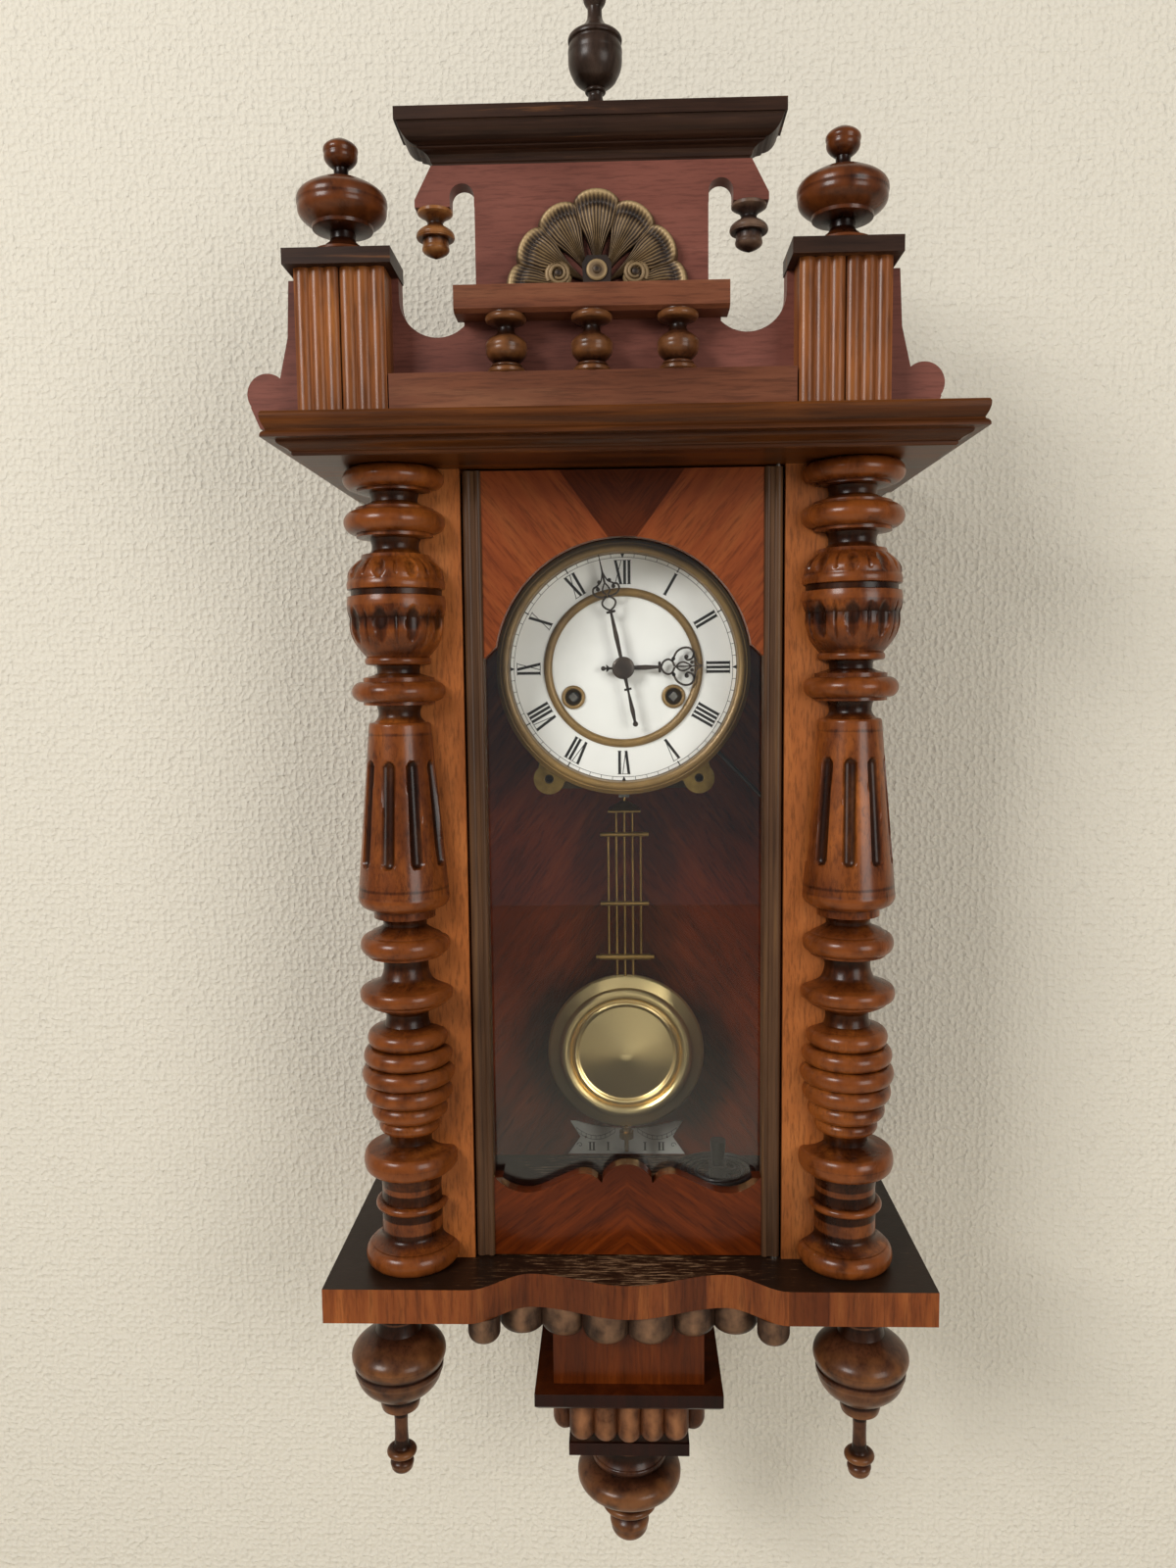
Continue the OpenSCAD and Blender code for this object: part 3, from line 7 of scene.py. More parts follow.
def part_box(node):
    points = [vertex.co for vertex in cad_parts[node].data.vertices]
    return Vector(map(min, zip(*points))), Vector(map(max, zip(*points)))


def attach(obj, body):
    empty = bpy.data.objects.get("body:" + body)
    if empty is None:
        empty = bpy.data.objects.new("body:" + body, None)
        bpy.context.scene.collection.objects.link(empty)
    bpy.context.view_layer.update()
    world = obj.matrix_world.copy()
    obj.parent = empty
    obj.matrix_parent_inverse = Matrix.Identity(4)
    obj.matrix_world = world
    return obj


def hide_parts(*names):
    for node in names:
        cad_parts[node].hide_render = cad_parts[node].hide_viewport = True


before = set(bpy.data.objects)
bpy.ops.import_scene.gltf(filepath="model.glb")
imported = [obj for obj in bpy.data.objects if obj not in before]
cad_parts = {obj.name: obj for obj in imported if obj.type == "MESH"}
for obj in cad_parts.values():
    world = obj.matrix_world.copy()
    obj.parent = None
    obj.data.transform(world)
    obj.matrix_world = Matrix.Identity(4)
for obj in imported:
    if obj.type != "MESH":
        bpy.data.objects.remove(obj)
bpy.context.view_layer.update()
MM = 0.001


def corners(name):
    """Lowest and highest corner of a CAD node, in millimetres."""
    low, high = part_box(name)
    return Vector(low) / MM, Vector(high) / MM


def middle(name):
    """The middle of a CAD node, in millimetres."""
    low, high = corners(name)
    return (low + high) / 2


# Heights and places that the pieces share, in millimetres, all read from the CAD nodes
BASE_LOW, FLOOR = (corner.z for corner in corners("base_board"))
SOFFIT = corners("cornice")[0].z
DIAL = middle("bezel")
DIAL_FACE = corners("dial")[0].y
PLATE_TOP = BASE_LOW - 51

# Widths of what varies in the finishes, in millimetres
CLOUD = 71.4
RUBBED_SPOT = 8.33
EDGE_LEAF = 23.5
SCRATCH_LONG, SCRATCH_WIDE = 16.7, 1.754
EMBOSSED_CHIP, EMBOSSED_GRAIN = 4.76, 2.38
# Fine marks of handling on metal, drawn coarser than real ones so that they show
MARK_STEP = 1.5

# Share of the written polish that the room's soft light needs, so that dark wood keeps its depth
POLISH = 0.42

# How a Mix node lays one colour on another
TINT = {"data_type": "RGBA", "blend_type": "MULTIPLY"}
COVER = {"data_type": "RGBA", "blend_type": "MIX"}


def colour(text):
    """An sRGB hex colour as linear values."""
    parts = [int(text[i : i + 2], 16) / 255 for i in (1, 3, 5)]
    return [p / 12.92 if p <= 0.04045 else ((p + 0.055) / 1.055) ** 2.4 for p in parts] + [1.0]


def add(tree, kind, inputs=None, stops=(), **settings):
    """Adds one node with its settings, and links or fills the sockets that it is given.
    stops are the (place, hex colour) pairs of a colour ramp."""
    made = tree.nodes.new(kind)
    for key, value in settings.items():
        setattr(made, key, value)
    if stops:
        points = made.color_ramp.elements
        while len(points) < len(stops):
            points.new(0.5)
        for point, (place, shade) in zip(points, stops):
            point.position = place
            point.color = colour(shade)
    for key, value in (inputs or {}).items():
        if isinstance(value, bpy.types.NodeSocket):
            tree.links.new(value, made.inputs[key])
        else:
            made.inputs[key].default_value = value
    return made


def blank(name):
    """A material with only its shader and output, and the Object coordinates that its patterns lie on."""
    material = bpy.data.materials.new(name)
    material.use_nodes = True
    tree = material.node_tree
    tree.nodes.clear()
    shader = add(tree, "ShaderNodeBsdfPrincipled")
    add(tree, "ShaderNodeOutputMaterial", {"Surface": shader.outputs[0]})
    place = add(tree, "ShaderNodeTexCoord").outputs["Object"]
    return material, tree, shader, place


def lead_out(tree, surface):
    """Links what a material gives in place of its plain shader."""
    out = next(node for node in tree.nodes if node.type == "OUTPUT_MATERIAL")
    tree.links.new(surface, out.inputs["Surface"])


def ridge_wear_and_hollow_shade(tree, shader, place, body, wear_and_highlight, coat):
    """Ridges of a turned or carved piece rubbed to another colour, and hollows darkened with painted shade
    and left dull.
    """
    ridge = add(tree, "ShaderNodeAttribute", attribute_name="ridge").outputs["Fac"]
    broken = add(tree, "ShaderNodeTexNoise", {"Vector": place, "Scale": 1000 / RUBBED_SPOT, "Detail": 4.0})
    rubbed_and_lit = add(tree, "ShaderNodeMath", {0: ridge, 1: broken.outputs["Fac"]}, operation="MULTIPLY")
    edge = add(tree, "ShaderNodeMapRange", {0: rubbed_and_lit.outputs[0], 1: 0.22, 2: 0.62}).outputs[0]
    body = add(tree, "ShaderNodeMix", {0: edge, 6: body, 7: colour(wear_and_highlight)}, **COVER).outputs[2]
    # Painted shade: the lower a point's ridge mark, the darker its colour, down to 0.22 in the deepest
    # hollows
    hollow = add(tree, "ShaderNodeMapRange", {0: ridge, 1: 0.0, 2: 0.42, 3: 0.22, 4: 1.0}).outputs[0]
    hollow_shade = add(tree, "ShaderNodeCombineColor", {0: hollow, 1: hollow, 2: hollow}).outputs[0]
    dull = add(tree, "ShaderNodeMath", {0: hollow, 1: coat * POLISH}, operation="MULTIPLY").outputs[0]
    tree.links.new(dull, shader.inputs["Coat Weight"])
    return add(tree, "ShaderNodeMix", {0: 1.0, 6: body, 7: hollow_shade}, **TINT).outputs[2]


def wood(name, shades, gloss, coat, band, stretch, along="z", pore=0.8, turn=0, wear_and_highlight=None, pores=0.45,
         matched=False, finish_with=None):
    """Varnished wood. band is the width of its light and dark figure and pore the width of its pores,
    both in millimetres. Real pores are about a quarter as wide, and are drawn coarser so that they show.
    along is the way of the grain, stretch draws it out, and turn tips it in the plane of the front.
    matched veneer is opened like a book about the middle of the clock."""
    material, tree, shader, place = blank(name)
    if matched:
        split = add(tree, "ShaderNodeSeparateXYZ", {0: place}).outputs
        mirrored = add(tree, "ShaderNodeMath", {0: split[0]}, operation="ABSOLUTE").outputs[0]
        place = add(tree, "ShaderNodeCombineXYZ", {0: mirrored, 1: split[1], 2: split[2]}).outputs[0]
    squeeze = [1 / stretch if axis == along else 1 for axis in "xyz"]
    turned = add(tree, "ShaderNodeMapping", {"Vector": place, "Rotation": (0, math.radians(turn), 0)})
    laid = add(tree, "ShaderNodeMapping", {"Vector": turned.outputs[0], "Scale": squeeze}).outputs[0]
    figure = add(tree, "ShaderNodeTexNoise", {"Vector": laid, "Scale": 1000 / band, "Detail": 5.0,
                                              "Roughness": 0.62, "Distortion": 0.6}).outputs["Fac"]
    # A noise of this scale draws its dark spots a little under half a step wide
    fine = add(tree, "ShaderNodeTexNoise", {"Vector": laid, "Scale": 1000 / (2.2 * pore), "Detail": 3.0,
                                            "Roughness": 0.7}).outputs["Fac"]
    cloud = add(tree, "ShaderNodeTexNoise", {"Vector": place, "Scale": 1000 / CLOUD, "Detail": 2.0})
    body = add(tree, "ShaderNodeValToRGB", {0: figure}, shades).outputs[0]
    dark_pore = add(tree, "ShaderNodeValToRGB", {0: fine}, [(0.36, "#3a2418"), (0.52, "#ffffff")]).outputs[0]
    body = add(tree, "ShaderNodeMix", {0: pores, 6: body, 7: dark_pore}, **TINT).outputs[2]
    shade = add(tree, "ShaderNodeValToRGB", {0: cloud.outputs["Fac"]}, [(0.3, "#8a8078"), (0.6, "#ffffff")])
    body = add(tree, "ShaderNodeMix", {0: 0.45, 6: body, 7: shade.outputs[0]}, **TINT).outputs[2]
    shader.inputs["Specular IOR Level"].default_value = 0.16
    shader.inputs["Coat Weight"].default_value = coat * POLISH
    shader.inputs["Coat Roughness"].default_value = 0.18
    if wear_and_highlight:
        body = ridge_wear_and_hollow_shade(tree, shader, place, body, wear_and_highlight, coat)
    if finish_with:
        body = finish_with(tree, place, body)
    tree.links.new(body, shader.inputs["Base Color"])
    rough = add(tree, "ShaderNodeMapRange", {0: figure, 3: gloss - 0.06, 4: gloss + 0.14}).outputs[0]
    tree.links.new(rough, shader.inputs["Roughness"])
    raised = add(tree, "ShaderNodeBump", {"Height": fine, "Strength": 0.12, "Distance": 0.0006})
    tree.links.new(raised.outputs[0], shader.inputs["Normal"])
    return material


def metal(name, light, dark, rough, tarnish, metallic=1.0, bump=0.05, rib=None):
    """Metal with a handled surface: patches tarnish mm wide, and marks MARK_STEP apart.
    rib is the colour painted where raised work stands out: rubbed paint, and a painted highlight; the
    hollows get a brown tint of old dirt and painted shade."""
    material, tree, shader, place = blank(name)
    patch = add(tree, "ShaderNodeTexNoise", {"Vector": place, "Scale": 1000 / tarnish, "Detail": 6.0,
                                             "Roughness": 0.65}).outputs["Fac"]
    marks = add(tree, "ShaderNodeTexNoise", {"Vector": place, "Scale": 1000 / MARK_STEP, "Detail": 3.0})
    body = add(tree, "ShaderNodeValToRGB", {0: patch}, [(0.32, dark), (0.66, light)]).outputs[0]
    if rib:
        ridge = add(tree, "ShaderNodeAttribute", attribute_name="ridge").outputs["Fac"]
        # Hollows tinted brown: old dirt, and painted shade under the rolled lips
        hollow = add(tree, "ShaderNodeMix", {0: 1.0, 6: body, 7: colour("#5a4638")}, **TINT).outputs[2]
        out_of_hollow = add(tree, "ShaderNodeMapRange", {0: ridge, 1: 0.1, 2: 0.55}).outputs[0]
        body = add(tree, "ShaderNodeMix", {0: out_of_hollow, 6: hollow, 7: body}, **COVER).outputs[2]
        # Raised work in the rib colour: rubbed paint, and a painted highlight on the lips
        on_ridge = add(tree, "ShaderNodeMapRange", {0: ridge, 1: 0.6, 2: 1.0}).outputs[0]
        body = add(tree, "ShaderNodeMix", {0: on_ridge, 6: body, 7: colour(rib)}, **COVER).outputs[2]
    tree.links.new(body, shader.inputs["Base Color"])
    shader.inputs["Metallic"].default_value = metallic
    spread = add(tree, "ShaderNodeMapRange", {0: patch, 3: rough + 0.12, 4: rough - 0.06}).outputs[0]
    tree.links.new(spread, shader.inputs["Roughness"])
    raised = add(tree, "ShaderNodeBump", {"Height": marks.outputs["Fac"], "Strength": bump,
                                          "Distance": 0.0003})
    tree.links.new(raised.outputs[0], shader.inputs["Normal"])
    return material


def plain(name, shade, rough, spot, spot_size=16.7, bump=0.02, metallic=0.0, coat=0.0):
    """A painted, enamelled or japanned surface with faint clouds of the spot colour, spot_size mm wide."""
    material, tree, shader, place = blank(name)
    cloud = add(tree, "ShaderNodeTexNoise", {"Vector": place, "Scale": 1000 / spot_size, "Detail": 5.0,
                                             "Roughness": 0.6}).outputs["Fac"]
    body = add(tree, "ShaderNodeValToRGB", {0: cloud}, [(0.25, spot), (0.6, shade)]).outputs[0]
    tree.links.new(body, shader.inputs["Base Color"])
    shader.inputs["Roughness"].default_value = rough
    shader.inputs["Metallic"].default_value = metallic
    shader.inputs["Coat Weight"].default_value = coat
    raised = add(tree, "ShaderNodeBump", {"Height": cloud, "Strength": bump, "Distance": 0.0004})
    tree.links.new(raised.outputs[0], shader.inputs["Normal"])
    return material


def dark_wedge(tree, place, body):
    """The middle leaf of the arched mask: darker wood, narrowing down to the arch."""
    wedge_low, wedge_half, wedge_slope = (DIAL.z + 85) * MM, 15 * MM, 0.73
    seam = 0.4 * MM
    split = add(tree, "ShaderNodeSeparateXYZ", {0: place}).outputs
    reach = add(tree, "ShaderNodeMath",
                {0: split[2], 1: wedge_slope, 2: wedge_half - wedge_slope * wedge_low},
                operation="MULTIPLY_ADD").outputs[0]
    inside = add(tree, "ShaderNodeMath", {0: reach, 1: split[0]}, operation="SUBTRACT").outputs[0]
    leaf = add(tree, "ShaderNodeMapRange", {0: inside, 1: -seam, 2: seam}).outputs[0]
    darker = add(tree, "ShaderNodeMix", {0: 1.0, 6: body, 7: colour("#a89a78")}, **TINT).outputs[2]
    return add(tree, "ShaderNodeMix", {0: leaf, 6: body, 7: darker}, **COVER).outputs[2]


def edge_patches(tree, place, body):
    """The front edge of the base is faced with upright leaves of uneven tone.
    Its top is stained black, and scratched most within 30 mm of the middle."""
    split = add(tree, "ShaderNodeSeparateXYZ", {0: place}).outputs
    count = add(tree, "ShaderNodeMath", {0: split[0], 1: EDGE_LEAF * MM}, operation="DIVIDE").outputs[0]
    number = add(tree, "ShaderNodeMath", {0: count}, operation="FLOOR").outputs[0]
    tone = add(tree, "ShaderNodeTexWhiteNoise", {"W": number}, noise_dimensions="1D").outputs["Value"]
    tone = add(tree, "ShaderNodeValToRGB", {0: tone}, [(0.0, "#b4a59a"), (1.0, "#ffffff")]).outputs[0]
    leaf = add(tree, "ShaderNodeMix", {0: 1.0, 6: body, 7: tone}, **TINT).outputs[2]
    facing = add(tree, "ShaderNodeSeparateXYZ", {0: add(tree, "ShaderNodeNewGeometry").outputs["Normal"]})
    top = add(tree, "ShaderNodeMapRange", {0: facing.outputs[2], 1: 0.5, 2: 0.6}).outputs[0]
    drawn = add(tree, "ShaderNodeMapping", {"Vector": place,
                                            "Scale": (1000 / SCRATCH_LONG, 1000 / SCRATCH_WIDE, 6.0)})
    scratch = add(tree, "ShaderNodeTexNoise", {"Vector": drawn.outputs[0], "Scale": 1.0, "Detail": 6.0,
                                               "Roughness": 0.75}).outputs["Fac"]
    aside = add(tree, "ShaderNodeMath", {0: split[0]}, operation="ABSOLUTE").outputs[0]
    worn = add(tree, "ShaderNodeMapRange", {0: aside, 1: 30 * MM, 2: 120 * MM, 3: 0.14, 4: 0.0}).outputs[0]
    scratch = add(tree, "ShaderNodeMath", {0: scratch, 1: worn}).outputs[0]
    black = add(tree, "ShaderNodeValToRGB", {0: scratch}, [(0.58, "#24160e"), (0.66, "#3c2616"),
                                                           (0.74, "#9a7a5c")])
    return add(tree, "ShaderNodeMix", {0: top, 6: leaf, 7: black.outputs[0]}, **COVER).outputs[2]


def plate_edges(tree, place, body):
    """The plate and foot of the bracket are stained nearly black."""
    height = add(tree, "ShaderNodeSeparateXYZ", {0: place}).outputs[2]
    seam = 0.1 * MM
    above = add(tree, "ShaderNodeMapRange", {0: height, 1: PLATE_TOP * MM - seam, 2: PLATE_TOP * MM + seam})
    dark = add(tree, "ShaderNodeMix", {0: 1.0, 6: body, 7: colour("#6a4c44")}, **TINT).outputs[2]
    return add(tree, "ShaderNodeMix", {0: above.outputs[0], 6: dark, 7: body}, **COVER).outputs[2]


# Turned walnut under many coats of shellac: deep brown, orange where hands and dusters wore the ridges
turned_walnut = wood("shellac_walnut", [(0.28, "#32150a"), (0.5, "#643112"), (0.72, "#a45c24")], gloss=0.25,
                     coat=0.6, band=30, wear_and_highlight="#7c4119", stretch=3)
# The same wood, darker, on top of the pedestals
finial_walnut = wood("finial_walnut", [(0.28, "#1f0d07"), (0.5, "#44200e"), (0.72, "#6e3a1a")], gloss=0.25,
                     coat=0.5, band=24, wear_and_highlight="#683617", stretch=3)
# The same wood with less polish and more dirt, below the base
low_walnut = wood("drop_walnut", [(0.25, "#21110a"), (0.5, "#422313"), (0.75, "#5e3822")], gloss=0.3,
                  coat=0.45, band=22, wear_and_highlight="#734828", stretch=3)
# Mahogany boards of the crest: even red-brown, half matt
crest_mahogany = wood("crest_mahogany", [(0.25, "#663a31"), (0.5, "#77463b"), (0.78, "#865246")], along="x",
                      gloss=0.46, coat=0.1, band=30, stretch=10, pores=0.25)
# Plain sawn walnut of the plinth and ledge: straight grain, little polish
ledge_walnut = wood("ledge_walnut", [(0.25, "#5c3220"), (0.5, "#74442e"), (0.78, "#8c5c40")], along="x",
                    gloss=0.4, coat=0.2, band=16, stretch=14, pores=0.3)
# Reeded pedestals, polished and worn to golden brown on the reeds
reed_walnut = wood("reed_walnut", [(0.25, "#5a2d14"), (0.5, "#8a5026"), (0.75, "#a8682f")], gloss=0.3,
                   coat=0.4, band=14, stretch=14, pores=0.35)
# Cornice mouldings: walnut stained dark
cornice_walnut = wood("cornice_walnut", [(0.25, "#2e1505"), (0.5, "#4e280c"), (0.8, "#7c4516")], along="x",
                      gloss=0.32, coat=0.35, band=9, stretch=26, pores=0.35)
# Dark brown paint on the top moulding, worn through to the wood in streaks
worn_dark = wood("worn_dark_stain", [(0.34, "#26150d"), (0.58, "#3a251a"), (0.76, "#8a5830")], along="x",
                 gloss=0.42, coat=0.15, band=6, stretch=22, pores=0.25)
# Tan veneer beside the door, full of short dark pores
front_veneer = wood("tan_veneer", [(0.2, "#85481f"), (0.5, "#9d5a2b"), (0.8, "#b06c38")], gloss=0.38,
                    coat=0.2, band=24, stretch=7, pores=0.4)
# Stiles of the door: walnut with a dark brown stain in its long grain
stile_wood = wood("door_stile_stain", [(0.25, "#3a271a"), (0.55, "#573c28"), (0.8, "#70502f")], gloss=0.4,
                  coat=0.2, band=5, stretch=40, pores=0.3)
# Side panels: red-brown stained pine
case_wood = wood("case_stain", [(0.25, "#3a170c"), (0.55, "#5c2814"), (0.8, "#743a20")], gloss=0.4, coat=0.2,
                 band=24, stretch=16)
# Back board: mahogany veneer, seen red-brown through the glass
back_veneer = wood("back_board_veneer", [(0.25, "#561b03"), (0.5, "#762b06"), (0.8, "#903e0e")], gloss=0.34,
                   coat=0.3, band=15, stretch=8, turn=36, matched=True)
# Veneer of the mask: red mahogany in book-matched leaves, with a darker one in the middle
veneer_mask = wood("mahogany_leaves", [(0.25, "#71341a"), (0.5, "#84411f"), (0.78, "#925027")], gloss=0.3,
                   coat=0.35, band=10, stretch=11, turn=-39, pore=0.7, matched=True, pores=0.35,
                   finish_with=dark_wedge)
# Veneer of the apron: darker mahogany laid as a chevron
veneer_apron = wood("mahogany_chevron", [(0.25, "#401604"), (0.5, "#572103"), (0.78, "#78330a")], gloss=0.28,
                    coat=0.4, band=8, stretch=10, turn=52, pore=0.7, matched=True, pores=0.35)
# Upright leaves of veneer round the front edge of the base, black stain on its top
edge_veneer = wood("base_edge_veneer", [(0.25, "#663014"), (0.5, "#8f4c22"), (0.78, "#aa6632")], gloss=0.34,
                   coat=0.3, band=10, stretch=12, pores=0.35, finish_with=edge_patches)
# Grey-brown stain on the gadroons, with a painted highlight down the front of each lobe and painted shade at
# its sides
gadroon_stain = wood("gadroon_stain", [(0.25, "#2c1e17"), (0.55, "#493528"), (0.8, "#5f4838")], gloss=0.42,
                     coat=0.1, band=10, wear_and_highlight="#7a5a42", stretch=3)
# The same stain, worn back to red-brown walnut, on the bracket's lobes
gadroon_red = wood("gadroon_walnut", [(0.25, "#331a0e"), (0.55, "#5a331c"), (0.8, "#74482c")], gloss=0.38,
                   coat=0.15, band=10, wear_and_highlight="#8a5c3c", stretch=3)
# Bracket: red-brown walnut veneer on the block, black stain on its plate and foot
bracket_wood = wood("bracket_veneer", [(0.25, "#3e1804"), (0.5, "#582405"), (0.8, "#74380f")], gloss=0.34,
                    coat=0.3, band=12, stretch=12, pores=0.3, finish_with=plate_edges)
# Ebonised pear of the top finial: black-brown with a soft gloss
ebonised = wood("ebonised_pear", [(0.3, "#281c15"), (0.55, "#3c2d25"), (0.8, "#544238")], gloss=0.3,
                coat=0.25, band=8, stretch=3, pores=0.2)
# Turned beech acorn on the left: lighter, golden on its ridges
acorn_light = wood("acorn_beech", [(0.25, "#4a2812"), (0.5, "#6a3c1c"), (0.8, "#8c582c")], gloss=0.34,
                   coat=0.3, band=7, wear_and_highlight="#9c683a", stretch=3)
# Its fellow on the right: the same shape, darker
acorn_dark = wood("acorn_right_darker", [(0.25, "#2c1d16"), (0.5, "#46322a"), (0.8, "#5c463a")], gloss=0.4,
                  coat=0.2, band=7, wear_and_highlight="#6e5646", stretch=3)

# Pressed shell with old bronze paint: brown in the hollows from old dirt and painted shade, dull gold on the
# ribs from rubbed paint and a painted highlight on the lips
old_bronze = metal("bronze_paint", "#806848", "#463320", 0.48, 11.1, metallic=0.3, bump=0.25, rib="#ab9168")
# Drawn and lacquered brass of the gridiron: yellow, with soft brown clouds of tarnish
old_brass = metal("lacquered_brass", "#b08d50", "#7c6030", 0.34, 41.7, metallic=0.9)
# Spun brass of the bezel and rings under old lacquer: olive brown, and too dull to mirror the room
bezel_brass = metal("bezel_brass", "#93733e", "#674e28", 0.4, 55.6, metallic=0.2)
# Sawn and milled brass of the plates and wheels: matt yellow, spotted
plate_brass = metal("plate_brass", "#a08448", "#6a5228", 0.36, 25.0, metallic=0.9)
# Turned steel of arbors and pins: grey, with a soft shine
clock_steel = metal("clock_steel", "#8a8780", "#5c5852", 0.34, 20.0)
# Sawn steel hands, browned with age: almost black, with a thin shine on the edges
hand_steel = plain("dark_steel_hands", "#2b221c", 0.36, "#473a30", 11.1, metallic=0.4, bump=0.05)
# Japanned iron of the gong's post and the hammer: black under a thin gloss
japanned_iron = plain("japanned_iron", "#191614", 0.38, "#2a2522", coat=0.2)
# Vitreous enamel: glossy and slightly uneven, cream in the clouds
dial_enamel = plain("dial_enamel", "#faf9f7", 0.2, "#ecebe8", 41.7, bump=0.04, coat=0.3)
# The same enamel on the beat plate, greyer with dust
plate_enamel = plain("beat_plate_enamel", "#ecece6", 0.3, "#cfd0ca", 20.0, coat=0.2)
# Sand-cast brass of the movement's bracket: brown and rough
cast_brass = plain("cast_bracket_brass", "#5a472b", 0.5, "#3e301d", metallic=0.4)
# Blued wire of the gong: near black, without a gloss
gong_wire = plain("blued_gong_wire", "#191513", 0.6, "#231e1b")
# Figures fired into the enamel: flat black
fired_black = plain("fired_black", "#14110f", 0.3, "#1f1b18")


def clear_glass(name):
    """Old window glass of the door: clear, with a faint sheen; shadows pass through it."""
    material, tree, shader, _ = blank(name)
    shader.inputs["Base Color"].default_value = colour("#fdfefd")
    shader.inputs["Roughness"].default_value = 0.01
    shader.inputs["Specular IOR Level"].default_value = 0.12
    shader.inputs["Transmission Weight"].default_value = 1.0
    shader.inputs["IOR"].default_value = 1.5
    ray = add(tree, "ShaderNodeLightPath").outputs
    through = add(tree, "ShaderNodeBsdfTransparent", {"Color": colour("#fdfefd")}).outputs[0]
    both = add(tree, "ShaderNodeMath", {0: ray["Is Shadow Ray"], 1: ray["Is Diffuse Ray"]},
               operation="MAXIMUM")
    mixed = add(tree, "ShaderNodeMixShader", {0: both.outputs[0], 1: shader.outputs[0], 2: through})
    lead_out(tree, mixed.outputs[0])
    return material


door_glass = clear_glass("window_glass")

# Making pieces


def finish_piece(mesh, name, material, body, replaced=(), smooth=None):
    """Names a mesh given in millimetres, gives it its finish and sets it on its body."""
    mesh.transform(Matrix.Scale(MM, 4))
    mesh.name = name
    mesh.materials.append(material)
    piece = bpy.data.objects.new(name, mesh)
    bpy.context.scene.collection.objects.link(piece)
    if smooth is not None:
        mesh.shade_smooth()
        mesh.set_sharp_from_angle(angle=math.radians(smooth))
    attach(piece, body)
    if replaced:
        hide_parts(*replaced)
    return piece


def mesh_of(points, faces, marks=None):
    """A mesh from plain lists; marks are how far each point stands on a ridge, from 0 to 1."""
    mesh = bpy.data.meshes.new("shape")
    mesh.from_pydata([tuple(p) for p in points], [], faces)
    if marks is not None:
        layer = mesh.attributes.new("ridge", "FLOAT", "POINT")
        layer.data.foreach_set("value", marks)
    return mesh


def tidy(mesh, merge=0.001):
    """Merges doubles and turns every face outwards."""
    shape = bmesh.new()
    shape.from_mesh(mesh)
    bmesh.ops.remove_doubles(shape, verts=shape.verts, dist=merge)
    bmesh.ops.recalc_face_normals(shape, faces=shape.faces)
    shape.to_mesh(mesh)
    shape.free()
    return mesh


def join_meshes(meshes):
    """Several meshes as one; the single ones are removed."""
    shape = bmesh.new()
    for mesh in meshes:
        shape.from_mesh(mesh)
        bpy.data.meshes.remove(mesh)
    made = bpy.data.meshes.new("joined")
    shape.to_mesh(made)
    shape.free()
    return made


# Turns what was made upright to point forwards, towards the viewer
FORWARDS = Matrix.Rotation(math.radians(90), 4, "X")


class Profile:
    """The outline of a turned piece, drawn upwards in (radius, height), in millimetres."""

    def __init__(self, radius, height, step=1.0):
        self.rows = [(radius, height)]
        self.step = step

    def to(self, radius, height):
        """A straight line."""
        r0, h0 = self.rows[-1]
        count = max(1, round(math.hypot(radius - r0, height - h0) / self.step))
        for i in range(1, count + 1):
            self.rows.append((r0 + (radius - r0) * i / count, h0 + (height - h0) * i / count))
        return self

    def curve(self, radius, height, bow):
        """A line that bows out by bow at its middle, or in where bow is negative."""
        r0, h0 = self.rows[-1]
        count = max(4, round(math.hypot(radius - r0, height - h0) / self.step * 1.3))
        for i in range(1, count + 1):
            t = i / count
            self.rows.append((r0 + (radius - r0) * t + bow * math.sin(math.pi * t), h0 + (height - h0) * t))
        return self

    def ease(self, radius, height):
        """An ogee."""
        r0, h0 = self.rows[-1]
        count = max(6, round(math.hypot(radius - r0, height - h0) / self.step * 1.2))
        for i in range(1, count + 1):
            t = i / count
            self.rows.append((r0 + (radius - r0) * (1 - math.cos(math.pi * t)) / 2, h0 + (height - h0) * t))
        return self

    def ring(self, radius, height):
        """A half-round ring that ends at height, as far in as it began."""
        r0, h0 = self.rows[-1]
        half = (height - h0) / 2
        count = max(8, round(math.pi * half / self.step * 1.4))
        reach = min(half, radius - r0)
        inner = radius - reach
        for i in range(count + 1):
            a = math.pi * i / count
            self.rows.append((inner + reach * math.sin(a), h0 + half - half * math.cos(a)))
        self.rows.append((r0, height))
        return self


# How far above and below each height of a turned piece its ridges and hollows are compared, in millimetres
RIDGE_REACH = 6.0


